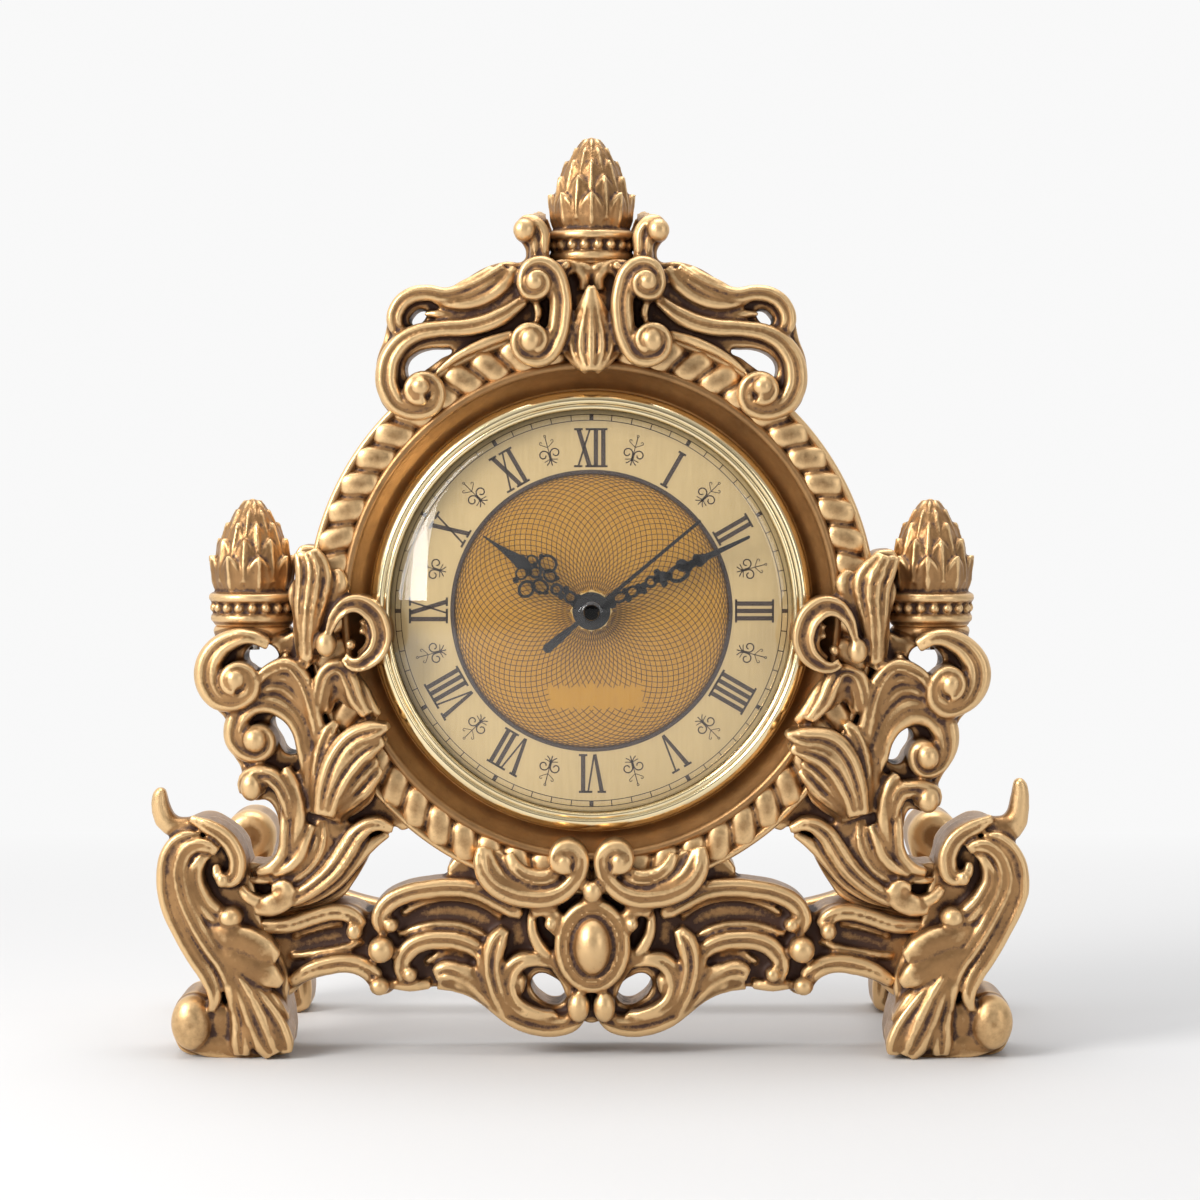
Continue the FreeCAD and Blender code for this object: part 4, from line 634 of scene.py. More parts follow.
# Apron: the low front between the legs, cast with them, with moulded rails, leaf sprays, two pierced
# eyelets, great curls under the ring and an oval cartouche in its frame.
apron_plate_px = [
    (225, 905), (262, 918), (300, 915), (331, 908), (352, 910), (368, 918), (378, 912), (395, 900),
    (420, 890), (446, 885), (445, 872), (500, 845), (591, 880), (591, 1031), (583, 1029), (570, 1036),
    (550, 1038), (530, 1033), (510, 1026), (490, 1014), (470, 1001), (455, 994), (430, 994), (405, 993),
    (393, 993), (388, 999), (380, 1002), (371, 999), (365, 986), (345, 979), (320, 983), (300, 990),
    (284, 1003), (250, 1006)]
apron_holes_px = [
    [(530, 993), (531, 985), (539, 980), (550, 983), (560, 990), (566, 999), (562, 1009), (554, 1012),
     (542, 1008)]]
apron_strokes = [
    (LOW + 1.5, "round", [
        (255, 931, 5), (285, 929, 6), (310, 921, 6), (333, 916, 6), (350, 920, 6), (358, 932, 6)]),
    (LOW - 1, "round", [(290, 941, 2), (315, 932, 3), (338, 927, 3)]),
    (LOW - 1, "round", [(288, 962, 2), (315, 958, 3), (345, 952, 3), (358, 946, 2)]),
    (LOW + 1.5, "round", [
        (286, 988, 4), (305, 976, 6), (325, 970, 7), (346, 968, 7), (364, 974, 7), (374, 985, 7)]),
    (LOW + 1.5, "round", [
        (384, 938, 4), (377, 925, 6), (384, 909, 7), (402, 898, 7), (425, 893, 7), (450, 891, 7),
        (475, 894, 7), (496, 904, 7), (512, 914, 6), (521, 920, 3)]),
    (LOW - 0.5, "round", [(400, 918, 2), (425, 905, 3), (455, 902, 3), (480, 908, 3), (500, 922, 2)]),
    (LOW - 0.5, "round", [(396, 940, 2), (418, 932, 3), (445, 929, 3), (470, 934, 3), (488, 944, 2)]),
    (LOW + 1.5, "round", [
        (402, 985, 4), (399, 971, 6), (406, 955, 7), (421, 946, 7), (441, 944, 7), (462, 947, 7),
        (478, 956, 6), (486, 968, 5), (492, 990, 4)]),
    (LOW, "round", [(389, 990, 4), (408, 991, 5), (428, 990, 4)]),
    (LOW - 0.5, "round", [(424, 968, 2), (442, 958, 3), (460, 960, 3), (472, 968, 2)]),
    # leaf spray
    (MID + 1, "round", [(506, 1018, 5), (495, 992, 7), (491, 965, 8), (496, 944, 8), (504, 932, 4)]),
    (MID, "round", [(503, 1016, 4), (489, 992, 5), (482, 972, 5), (477, 958, 3)]),
    (MID, "round", [(500, 1016, 5), (480, 994, 6), (462, 980, 7), (444, 975, 8), (433, 980, 6)]),
    (LOW + 1, "round", [(498, 1018, 4), (478, 1000, 5), (458, 990, 6), (436, 987, 6)]),
    (LOW + 1, "round", [(484, 1000, 3), (470, 985, 3), (452, 977, 3), (440, 974, 2)]),
    # lower band and eyelet
    (MID, "round", [
        (492, 1010, 5), (512, 1022, 7), (532, 1029, 8), (553, 1031, 8), (571, 1027, 7), (582, 1016, 5)]),
    (MID + 0.5, "roll", [
        (548, 967, 4), (532, 963, 6), (518, 966, 8), (508, 979, 9), (508, 997, 8), (517, 1010, 7),
        (536, 1018, 5), (556, 1021, 4)]),
    (MID, "round", [(512, 975, 5), (516, 986, 8), (519, 998, 3)]),
    # strands from the cartouche
    (MID, "round", [
        (533, 910, 3), (531, 930, 4), (539, 951, 5), (555, 968, 5), (566, 985, 5), (570, 999, 4)]),
    (LOW, "round", [(558, 960, 2), (568, 978, 3), (576, 992, 3)]),
    (HIGH - 0.5, "round", [(532, 916, 4), (543, 912, 5), (554, 919, 6), (555, 929, 5), (549, 933, 3)]),
    # great curl with its leaves
    (HIGH + 0.5, "roll", [
        (481, 847, 4), (480, 864, 7), (488, 882, 8), (505, 894, 9), (530, 900, 9), (553, 898, 9),
        (569, 888, 8)] + volute((565, 861), 19, 7, 60, -1.0, 7, 5, 1.0)),
    (HIGH, "round", [(487, 850, 3), (493, 866, 4), (505, 882, 5), (522, 890, 4), (542, 890, 3)]),
    (MID + 1, "round", [(496, 852, 3), (505, 866, 4), (520, 880, 4), (540, 883, 3)]),
    (HIGH, "round", [(508, 854, 3), (515, 868, 5), (530, 878, 6), (548, 878, 6), (560, 869, 4)]),
    (MID - 0.3, "swell", [(500, 1012, 10), (480, 990, 13), (458, 980, 13), (440, 980, 7)]),
    (MID, "swell", [(505, 1015, 10), (494, 985, 12), (491, 962, 11), (500, 938, 5)]),
    (MID + 0.5, "swell", [(492, 856, 8), (506, 876, 13), (532, 888, 12), (556, 884, 8)])]
apron_balls = [
    ((352, 935), 8, MID + 0.5, 1.1), ((377, 991), 10, MID, 0.9), ((379, 953), 13, HIGH, 1.0),
    ((389, 929), 7, MID, 1.0), ((408, 979), 7, MID, 1.0), ((564, 862), 8, HIGH + 1.6, 1.0),
    ((550, 926), 6, HIGH + 0.5, 1.0), ((578, 1010), 11, HIGH + 0.5, 1.4)]
CARTOUCHE_PX, FRAME_HALF_PX, FRAME_STEPS = (592, 948), (30, 39), 24
apron_bm = half_piece(apron_plate_px, apron_holes_px, apron_strokes, apron_balls, PLATE_FRONT)
mirrored_copy(apron_bm, LEFT_TO_RIGHT)
oval_frame = []
for i in range(FRAME_STEPS + 1):
    turn = 2 * math.pi * i / FRAME_STEPS
    oval_frame.append((CARTOUCHE_PX[0] + FRAME_HALF_PX[0] * math.sin(turn),
                       CARTOUCHE_PX[1] - FRAME_HALF_PX[1] * math.cos(turn), 6, 0))
strokes_mesh(apron_bm, [(HIGH, "round", oval_frame)], PLATE_FRONT)
ball(apron_bm, CARTOUCHE_PX, 21, PROUD + 0.5, PLATE_FRONT, 1.5, 1.1)
ball(apron_bm, (592, 893), 10, HIGH + 1, PLATE_FRONT, 1.1)
ball(apron_bm, (592, 906), 13, HIGH, PLATE_FRONT, 0.7)
gilded(cast("apron", apron_bm, APRON_VOXEL), "front_casting")

# Front legs: an S scroll with a horn on its shoulder, a two-lobed leaf over the knee, a toe of leaf
# strands and a ball heel; cast with the apron, the left one modelled and the right one its twin.
leg_plate_px = [
    (243, 862), (238, 845), (216, 826), (200, 820), (184, 824), (172, 832), (165, 846), (162, 865),
    (162, 880), (165, 900), (172, 920), (182, 937), (195, 955), (205, 975), (211, 1000), (200, 998),
    (190, 996), (178, 1001), (170, 1013), (168, 1030), (171, 1046), (180, 1058), (230, 1058), (284, 1058),
    (288, 1046), (287, 1022), (284, 1003), (286, 990), (278, 960), (262, 935), (252, 890)]
leg_strokes = [
    # cap leaf rolling over the shoulder into the scroll
    (LEG_TOP - 0.6, "roll", [
        (190, 818, 3), (207, 826, 7), (222, 835, 8), (233, 848, 8), (237, 866, 8), (230, 880, 7),
        (219, 876, 5), (215, 864, 3)]),
    # the S band and the two ridges beside it
    (LEG_TOP - 0.4, "roll", [
        (210, 1012, 3), (214, 998, 6), (208, 978, 8), (195, 958, 8), (181, 933, 8), (169, 903, 9),
        (166, 872, 9), (171, 850, 8), (184, 838, 7), (200, 836, 4)]),
    (LEG_TOP, "round", [(233, 1010, 4), (231, 990, 6), (224, 972, 7)]),
    (LEG_TOP, "roll", [
        (232, 1004, 3), (226, 972, 7), (208, 944, 8), (192, 916, 8), (181, 884, 8), (181, 862, 7),
        (191, 847, 7), (206, 845, 6), (217, 852, 4)]),
    (LEG_TOP - 0.6, "roll", [
        (226, 921, 9), (212, 912, 9), (199, 893, 8), (195, 873, 7), (201, 860, 5), (209, 854, 3)]),
    # two-lobed leaf over the knee
    (LEG_TOP, "swell", [(208, 930, 6), (226, 936, 12), (246, 942, 14), (264, 951, 13), (277, 959, 7)]),
    (LEG_TOP, "swell", [(212, 944, 5), (230, 956, 11), (252, 967, 14), (270, 977, 12), (281, 985, 5)]),
    (LEG_TOP - 1, "swell", [(220, 950, 10), (244, 962, 12), (262, 968, 9)]),
    (LEG_TOP - 1.4, "swell", [(224, 962, 6), (240, 978, 10), (256, 990, 9), (268, 996, 4)]),
    # toe: three thick leaf strands spreading to the floor
    (LEG_TOP - 0.8, "roll", [
        (224, 968, 4), (234, 992, 9), (240, 1018, 11), (240, 1046, 10), (240, 1056, 8)]),
    (LEG_TOP + 0.4, "roll", [
        (228, 966, 4), (244, 994, 10), (255, 1020, 13), (265, 1044, 12), (272, 1056, 8)]),
    (LEG_TOP - 0.2, "roll", [
        (240, 976, 4), (260, 1000, 8), (275, 1022, 9), (284, 1042, 8), (286, 1054, 5)]),
    (LEG_TOP - 1.2, "roll", [(256, 985, 3), (272, 1002, 6), (283, 1022, 6)]),
    (LEG_PLATE + 4.6, "swell", [(204, 1004, 7), (218, 1018, 14), (228, 1040, 16)]),
    (LEG_PLATE + 4, "swell", [(184, 1040, 12), (206, 1046, 14), (240, 1050, 12), (270, 1050, 9)])]
# Horn: tapering and round all the way along, a row of balls that the voxels fuse.
HORN_PX = [
    (196, 824, 8), (186, 827, 9), (177, 828, 9.8), (169, 826, 10.4), (163, 820, 10.4), (160, 812, 9.8),
    (158.5, 804, 8.8), (158.5, 797, 7.6), (159.5, 793, 6)]
HORN_FRONT = 38.5
leg_balls = [
    ((229, 919), 12, LEG_TOP + 0.2, 0.95), ((190, 1025), 21.5, LEG_TOP, 1.3),
    ((222, 880), 6, LEG_TOP + 0.3, 1.2)]
leg_bm = half_piece(leg_plate_px, (), leg_strokes, leg_balls, LEG_PLATE)
for near, far in zip(HORN_PX, HORN_PX[1:]):
    for share in (0.0, 0.25, 0.5, 0.75):
        x, y, half = [a + (b - a) * share for a, b in zip(near, far)]
        ball(leg_bm, (x, y), half, HORN_FRONT, HORN_FRONT - 2 * half * MM_PER_PX, 1.0, 1.0)
leg_left = cast("leg_left", leg_bm, VOXEL)
gilded(leg_left, "front_casting")
leg_nudges = [
    ((1025, 791), (1021, 778), 28), ((1020, 865), (1024, 874), 35), ((961, 867), (965, 863), 25),
    ((992, 1024), (994, 1023), 30), ((894, 1046), (888, 1050), 25), ((940, 1058), (940, 1058), 60)]
gilded(other_side(leg_left, "leg_right", leg_nudges), "front_casting")


# Finials: three pine cones, each cast in one with a beaded collar and pinned to its pedestal. Eight
# ribbed scales go round in a row, and each row stands half a scale round from the row below.
CONE_FOOT, CONE_TOP = 7.5, 29.6
CONE_SCALES = 8
COLLAR_BEADS, BEAD_RADIUS, BEADS_AT, BEADS_HIGH = 18, 1.15, 9.15, 4.05
SCALE_THICK = 0.7
# Body of the cone as (share of its height, radius); scales as (foot, tip, half width, flare) for each row.
cone_body = [
    (0.0, 8.3), (0.12, 8.9), (0.3, 8.5), (0.5, 7.2), (0.7, 5.2), (0.85, 3.3), (0.95, 1.7), (1.0, 0.4)]
scale_rows = [
    (-0.02, 0.40, 3.7, 1.9), (0.12, 0.58, 3.5, 1.4), (0.32, 0.75, 2.9, 1.1), (0.50, 0.89, 2.2, 0.8),
    (0.70, 0.985, 1.5, 0.5)]
collar_profile = [
    (0.0, -0.3), (9.0, -0.3), (9.3, 0.5), (9.9, 1.0), (10.0, 1.9), (9.7, 2.5), (9.1, 2.8), (8.9, 3.2),
    (8.9, 4.9), (9.2, 5.2), (10.0, 5.5), (10.4, 6.0), (10.4, 6.8), (10.0, 7.4), (9.0, 7.7), (0.0, 7.7)]


def cone_radius(share):
    """Radius of the cone under its scales, at a share of its height."""
    for (low, wide), (high, narrow) in zip(cone_body, cone_body[1:]):
        if share <= high:
            return wide + (narrow - wide) * (share - low) / (high - low)
    return cone_body[-1][1]


def cone_scale(bm, foot, tip, half, flare, around):
    """One pointed scale that lies on the cone and turns out at its tip, with raised edges and a midrib."""
    sheet = bmesh.ops.create_grid(bm, x_segments=14, y_segments=14, size=1)["verts"]
    for vert in sheet:
        across, along = vert.co.x, (vert.co.y + 1) / 2
        share = foot + (tip - foot) * along
        wide = half * max(math.sin(math.pi * (0.16 + 0.84 * along) ** 0.9), 0.01) ** 0.75
        midrib = 0.5 * math.exp(-(across / 0.17) ** 2)
        edges = 0.45 * math.exp(-((abs(across) - 0.8) / 0.18) ** 2)
        ribs = (midrib + edges) * min(1, 3 * along + 0.3)
        radius = cone_radius(share) + 0.3 + flare * along ** 2.2 + ribs
        radius -= 0.9 * across ** 2 * (0.4 + half / 5)
        turn = around + across * wide / max(radius, 1.0)
        vert.co = Vector((radius * math.sin(turn), CONE_FOOT + (CONE_TOP - CONE_FOOT) * share,
                          radius * math.cos(turn))) * MM
    faces = list({face for vert in sheet for face in vert.link_faces})
    bmesh.ops.solidify(bm, geom=faces, thickness=SCALE_THICK * MM)


def finial(name, place_px, turned_by):
    """Pine cone and collar, turned a little and stood on its pedestal."""
    bm = bmesh.new()
    lathe(bm, collar_profile, Vector((0, 0, 0)), 96)
    cone = [(radius, CONE_FOOT + (CONE_TOP - CONE_FOOT) * share) for share, radius in cone_body]
    lathe(bm, [(0.0, CONE_FOOT)] + cone + [(0.0, CONE_TOP)], Vector((0, 0, 0)), 48)
    for i in range(COLLAR_BEADS):
        turn = 2 * math.pi * (i + 0.5) / COLLAR_BEADS
        bead = bmesh.ops.create_uvsphere(bm, u_segments=16, v_segments=10, radius=BEAD_RADIUS * MM)["verts"]
        place = Vector((BEADS_AT * math.sin(turn), BEADS_HIGH, BEADS_AT * math.cos(turn)))
        bmesh.ops.translate(bm, vec=place * MM, verts=bead)
    for row, (foot, tip, half, flare) in enumerate(scale_rows):
        for i in range(CONE_SCALES):
            cone_scale(bm, foot, tip, half, flare, 2 * math.pi * (i + row % 2 / 2) / CONE_SCALES)
    bmesh.ops.rotate(bm, cent=(0, 0, 0), matrix=Matrix.Rotation(turned_by, 3, "Y"), verts=bm.verts)
    bmesh.ops.translate(bm, vec=spot(*place_px, FINIAL_OUT), verts=bm.verts)
    return cast(name, bm, FINIAL_VOXEL, 2)


RIGHT_FINIAL_PX = (2 * AXIS_PX - LEFT_FINIAL_PX[0], LEFT_FINIAL_PX[1])
gilded(finial("cone_centre", CENTRE_FINIAL_PX, 0.0), "finial_centre")
gilded(finial("cone_left", LEFT_FINIAL_PX, 0.25), "finial_left")
gilded(finial("cone_right", RIGHT_FINIAL_PX, -0.15), "finial_right")

# Rear stand: plainer twins of the front legs on a moulded cross rail, with a rail on each side that
# reaches forward to the front casting and is screwed to it; one casting of its own.
REAR_FRONT, REAR_BACK = -22.4, -41.6
rear_leg_px = [
    (222, 840), (236, 844), (246, 855), (249, 868), (246, 884), (241, 900), (252, 930), (268, 960),
    (280, 985), (285, 1015), (286, 1045), (282, 1056), (230, 1057), (180, 1056), (172, 1046), (170, 1030),
    (172, 1013), (180, 1001), (192, 996), (204, 998), (205, 975), (192, 945), (183, 915), (185, 885),
    (195, 857), (208, 843)]
rear_strokes_px = [
    [(248, 1036, 5), (232, 1000, 8), (212, 962, 9), (198, 930, 9), (193, 898, 9), (199, 870, 8),
     (212, 852, 6)],
    [(266, 1036, 5), (252, 1000, 7), (232, 962, 8), (218, 930, 8), (212, 904, 7)],
    [(250, 975, 3), (260, 1000, 7), (268, 1024, 8), (272, 1046, 7)],
    [(198, 1049, 5), (225, 1050, 6), (262, 1049, 6)]]
ROLL_PX, ROLL_HALF_PX = (221, 867), 28
cross_rail_px = [
    (232, 922), (290, 920), (345, 936), (400, 946), (480, 949), (591, 949), (591, 962), (480, 961),
    (400, 959), (345, 950), (290, 936), (232, 941)]
CROSS_FRONT, CROSS_BACK = -27.2, -34.8
RAIL_X, RAIL_LOW, RAIL_HIGH = -77.95, 16.94, 32.94
# Side rail as (place, half width, share of its height) from front to back, with chamfered corners.
rail_stops = [
    (15.8, 7.3, 1.0), (11.2, 7.3, 1.0), (10.6, 4.6, 0.97), (2.0, 4.2, 0.74), (-12.0, 4.2, 0.72),
    (-21.0, 4.4, 0.92), (-27.0, 4.4, 0.97)]
rail_corners = [
    (0.85, 1.0), (1.0, 0.88), (1.0, -0.88), (0.85, -1.0), (-0.85, -1.0), (-1.0, -0.88), (-1.0, 0.88),
    (-0.85, 1.0)]
rear_bm = bmesh.new()
strokes_mesh(rear_bm, [(REAR_FRONT, "round", points) for points in rear_strokes_px], REAR_FRONT - 3.0)
ball(rear_bm, ROLL_PX, 17, REAR_FRONT + 0.2, REAR_FRONT - 4.0)
ball(rear_bm, (191, 1025), 19, REAR_FRONT + 0.2, REAR_FRONT - 4.0, 1.2)
back_verts = mirrored_copy(rear_bm, FRONT_TO_BACK)
bmesh.ops.translate(rear_bm, vec=(0, 0, (REAR_FRONT + REAR_BACK) * MM), verts=back_verts)
plate(rear_bm, rear_leg_px, REAR_FRONT - 1.5, REAR_BACK + 1.5, edge=1.4)
roll_px = [(ROLL_PX[0] + ROLL_HALF_PX * math.cos(turn), ROLL_PX[1] + ROLL_HALF_PX * math.sin(turn))
           for turn in [math.pi * i / 6 for i in range(12)]]
plate(rear_bm, roll_px, REAR_FRONT, REAR_BACK, edge=3.0)
plate(rear_bm, cross_rail_px, CROSS_FRONT, CROSS_BACK, edge=1.5)
rings = []
for out, half_wide, tall in rail_stops:
    half_high = (RAIL_HIGH - RAIL_LOW) / 2 * tall
    corners = [Vector((RAIL_X + half_wide * x, (RAIL_LOW + RAIL_HIGH) / 2 + half_high * y, out))
               for x, y in rail_corners]
    rings.append([rear_bm.verts.new(corner * MM) for corner in corners])
loops = [[rear_bm.edges.new((ring[i - 1], ring[i])) for i in range(len(ring))] for ring in rings]
for low, high in zip(loops, loops[1:]):
    bmesh.ops.bridge_loops(rear_bm, edges=low + high)
rear_bm.faces.new(rings[0])
rear_bm.faces.new(rings[-1])
mirrored_copy(rear_bm, LEFT_TO_RIGHT)
gilded(cast("rear_frame", rear_bm, REAR_VOXEL), "rear_stand")

# Ring of the casting: the turned wall and lip of the well that the insert sits in, and round it a rope
# moulding, a row of slanted cushions in a channel, slanting the other way on each side.
def turned(name, profile, segments):
    """Ring spun about the dial axis from a closed outline of (radius, depth)."""
    bm = bmesh.new()
    verts = [bm.verts.new((radius * MM, depth * MM, DIAL_HEIGHT * MM)) for radius, depth in profile]
    edges = [bm.edges.new((verts[i - 1], verts[i])) for i in range(len(verts))]
    bmesh.ops.spin(bm, geom=verts + edges, cent=(0, 0, DIAL_HEIGHT * MM), axis=(0, 1, 0),
                   angle=2 * math.pi, steps=segments, use_merge=True)
    bmesh.ops.remove_doubles(bm, verts=bm.verts, dist=0.00001)
    bmesh.ops.recalc_face_normals(bm, faces=bm.faces)
    obj = mesh_object(name, bm)
    obj.data.shade_smooth()
    return obj


ring_profile = [
    (45.0, -14.0), (45.0, -28.0), (51.8, -28.0), (52.2, -28.6), (54.0, -30.6), (56.0, -32.6),
    (56.3, -33.3), (56.6, -33.9), (57.2, -34.2), (57.9, -34.0), (58.4, -33.3), (58.6, -31.6),
    (64.2, -31.6), (64.7, -32.5), (65.3, -33.2), (66.1, -33.0), (66.45, -32.0), (66.45, -14.5),
    (66.0, -14.0)]
ring = turned("ring", ring_profile, 256)
mark_relief(ring.data, 3, 6, 1.2, 2.4)
gilded(ring, "front_casting")
ROPE_COUNT = 56
ROPE_RADIUS = 61.5
ROPE_SLANT = math.radians(35)
ROPE_HALVES, ROPE_SQUARENESS, ROPE_OUT = (3.2, 5.2, 3.2), 0.7, 30.9
rope_bm = bmesh.new()
for i in range(ROPE_COUNT):
    around = 2 * math.pi * (i + 0.5) / ROPE_COUNT
    slant = ROPE_SLANT if around > math.pi else -ROPE_SLANT
    cushion = bmesh.ops.create_uvsphere(rope_bm, u_segments=24, v_segments=14, radius=1)["verts"]
    for vert in cushion:
        vert.co = Vector([math.copysign(abs(c) ** ROPE_SQUARENESS, c) for c in vert.co])
    bmesh.ops.scale(rope_bm, vec=[half * MM for half in ROPE_HALVES], verts=cushion)
    bmesh.ops.rotate(rope_bm, cent=(0, 0, 0), matrix=Matrix.Rotation(slant, 3, "Z"), verts=cushion)
    bmesh.ops.translate(rope_bm, vec=(0, ROPE_RADIUS * MM, ROPE_OUT * MM), verts=cushion)
    bmesh.ops.rotate(rope_bm, cent=(0, 0, 0), matrix=Matrix.Rotation(-around, 3, "Z"), verts=cushion)
channel = [(58.2, 29.0), (58.2, 31.8), (59.2, 31.2), (63.8, 31.2), (64.8, 31.8), (64.8, 29.0)]
channel_verts = [rope_bm.verts.new((0, radius * MM, out * MM)) for radius, out in channel]
channel_edges = [rope_bm.edges.new((channel_verts[i - 1], channel_verts[i])) for i in range(len(channel))]
bmesh.ops.spin(rope_bm, geom=channel_verts + channel_edges, cent=(0, 0, 0), axis=(0, 0, 1),
               angle=2 * math.pi, steps=192, use_merge=True)
bmesh.ops.translate(rope_bm, vec=(0, DIAL_HEIGHT * MM, 0), verts=rope_bm.verts)
gilded(cast("rope", rope_bm, VOXEL, 2), "front_casting")

# Dial: a printed aluminium disc under the lens, satin champagne with a gold centre, an engine-turned
# pattern of circles that all pass through the middle, and dark brown print; a small field stays bare.
DIAL_FRONT = -29.8
CENTRE_RADIUS, CENTRE_RING = 32.1, 0.85
TRACK_INNER, TRACK_OUTER, TRACK_LINE = 44.6, 46.2, 0.22
BARE_LEFT, BARE_RIGHT, BARE_LOW, BARE_HIGH = -10.1, 12.0, -22.7, -17.5
NUMERAL_RADIUS, FLOURISH_RADIUS = 38.05, 37.6
HALF_HIGH, THICK, THIN, SERIF, SERIF_REACH = 4.3, 1.02, 0.42, 0.5, 1.0
CIRCLES, CIRCLE_LINE, HUB_FIELD = 80, 0.19, 5.2
MINUTE_TICK, HOUR_TICK, PRINT_THICK = 0.22, 0.95, 0.012
numerals = ["XII", "I", "II", "III", "IIII", "V", "VI", "VII", "VIII", "IX", "X", "XI"]
letter_room = {"I": 1.72, "V": 3.9, "X": 3.8}


def circle_bars(middle, radius, wide, steps):
    """Ring of short flat bars round a middle point."""
    bars = []
    for i in range(steps):
        a, b = 2 * math.pi * i / steps, 2 * math.pi * (i + 1) / steps
        bars.append([(middle[0] + r * math.sin(turn), middle[1] + r * math.cos(turn))
                     for r, turn in ((radius - wide / 2, a), (radius + wide / 2, a), (radius + wide / 2, b),
                                     (radius - wide / 2, b))])
    return bars


def bar(start, end, wide, wide_end=None):
    """Flat bar between two points, as wide at its end as it is asked to be."""
    across = Vector((start[1] - end[1], end[0] - start[0])).normalized() / 2
    far = wide if wide_end is None else wide_end
    return [tuple(Vector(start) + across * wide), tuple(Vector(end) + across * far),
            tuple(Vector(end) - across * far), tuple(Vector(start) - across * wide)]


def line_bars(points, wide):
    """Bent line as short bars."""
    return [bar(a, b, wide) for a, b in zip(points, points[1:])]


def spiral(middle, start, end, from_deg, turns, steps=16):
    """Points of a small spiral round a middle point."""
    points = []
    for i in range(steps + 1):
        radius = start + (end - start) * i / steps
        turn = math.radians(from_deg + turns * 360 * i / steps)
        points.append((middle[0] + radius * math.cos(turn), middle[1] + radius * math.sin(turn)))
    return points


def round_dial(bars, radius, turn_deg):
    """Shapes drawn upright about the origin, moved out to a radius and turned clockwise round the dial."""
    sine, cosine = math.sin(math.radians(turn_deg)), math.cos(math.radians(turn_deg))
    return [[(x * cosine + (z + radius) * sine, (z + radius) * cosine - x * sine) for x, z in shape]
            for shape in bars]


def letter(kind, x):
    """Strokes of one Roman letter centred on x, and the ends that carry serifs."""
    if kind == "I":
        return [bar((x, -HALF_HIGH), (x, HALF_HIGH), THICK)], [(x, -HALF_HIGH), (x, HALF_HIGH)]
    if kind == "V":
        return ([bar((x - 1.55, HALF_HIGH), (x + 0.05, -HALF_HIGH - 0.2), THICK, THICK * 0.7),
                 bar((x + 1.65, HALF_HIGH), (x + 0.25, -HALF_HIGH - 0.1), THIN)],
                [(x - 1.55, HALF_HIGH), (x + 1.65, HALF_HIGH)])
    return ([bar((x - 1.3, HALF_HIGH), (x + 1.3, -HALF_HIGH), THICK),
             bar((x + 1.35, HALF_HIGH), (x - 1.35, -HALF_HIGH), THIN)],
            [(x - 1.3, HALF_HIGH), (x + 1.35, HALF_HIGH), (x + 1.3, -HALF_HIGH), (x - 1.35, -HALF_HIGH)])


def numeral(letters):
    """Strokes and joined serifs of a Roman number, centred."""
    x = -sum(letter_room[kind] for kind in letters) / 2
    strokes = []
    for kind in letters:
        made, ends = letter(kind, x + letter_room[kind] / 2)
        strokes += made
        for end, z in ends:
            strokes.append(bar((end - SERIF_REACH, z), (end + SERIF_REACH, z), SERIF))
        x += letter_room[kind]
    return strokes


def flourish():
    """Small ornament between two hours: a stem, two open curls, hooks above and a fan of strokes below."""
    strokes = line_bars([(0, -1.0), (0, 4.2)], 0.2) + circle_bars((0, 4.5), 0.25, 0.16, 10)
    for side in (-1, 1):
        curl = [(0.05, -1.4), (0.15, -0.6)] + spiral((1.4, 0.2), 1.25, 0.5, 185, -1.0)
        hook = [(0.1, 1.9), (0.75, 2.3), (1.3, 2.7)] + spiral((1.35, 3.1), 0.35, 0.25, -80, 0.75, 8)
        for points, wide in ((curl, 0.3), (hook, 0.16), ([(0.1, -1.0), (0.55, -1.7), (1.2, -2.2)], 0.24),
                             ([(0.1, -0.9), (0.9, -1.2), (1.6, -1.35)], 0.2)):
            strokes += line_bars([(side * x, z) for x, z in points], wide)
    return strokes + line_bars([(0, -1.0), (0, -2.5)], 0.26)


def print_on_dial(name, shapes, lift, material):
    """Thin layer of print in front of the dial, from flat shapes of (x, z) about its axis."""
    bm = bmesh.new()
    for shape in shapes:
        corners = [(x * MM, (DIAL_FRONT - lift) * MM, DIAL_HEIGHT * MM + z * MM) for x, z in shape]
        bm.faces.new([bm.verts.new(corner) for corner in corners])
    bmesh.ops.recalc_face_normals(bm, faces=bm.faces)
    for face in bm.faces:
        if face.normal.y > 0:
            face.normal_flip()
    grown = bmesh.ops.extrude_face_region(bm, geom=bm.faces[:], use_keep_orig=True)["geom"]
    front = [part for part in grown if isinstance(part, bmesh.types.BMVert)]
    bmesh.ops.translate(bm, vec=(0, -PRINT_THICK * MM, 0), verts=front)
    bmesh.ops.recalc_face_normals(bm, faces=bm.faces)
    obj = mesh_object(name, bm)
    obj.data.materials.append(material)
    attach(obj, "clock")


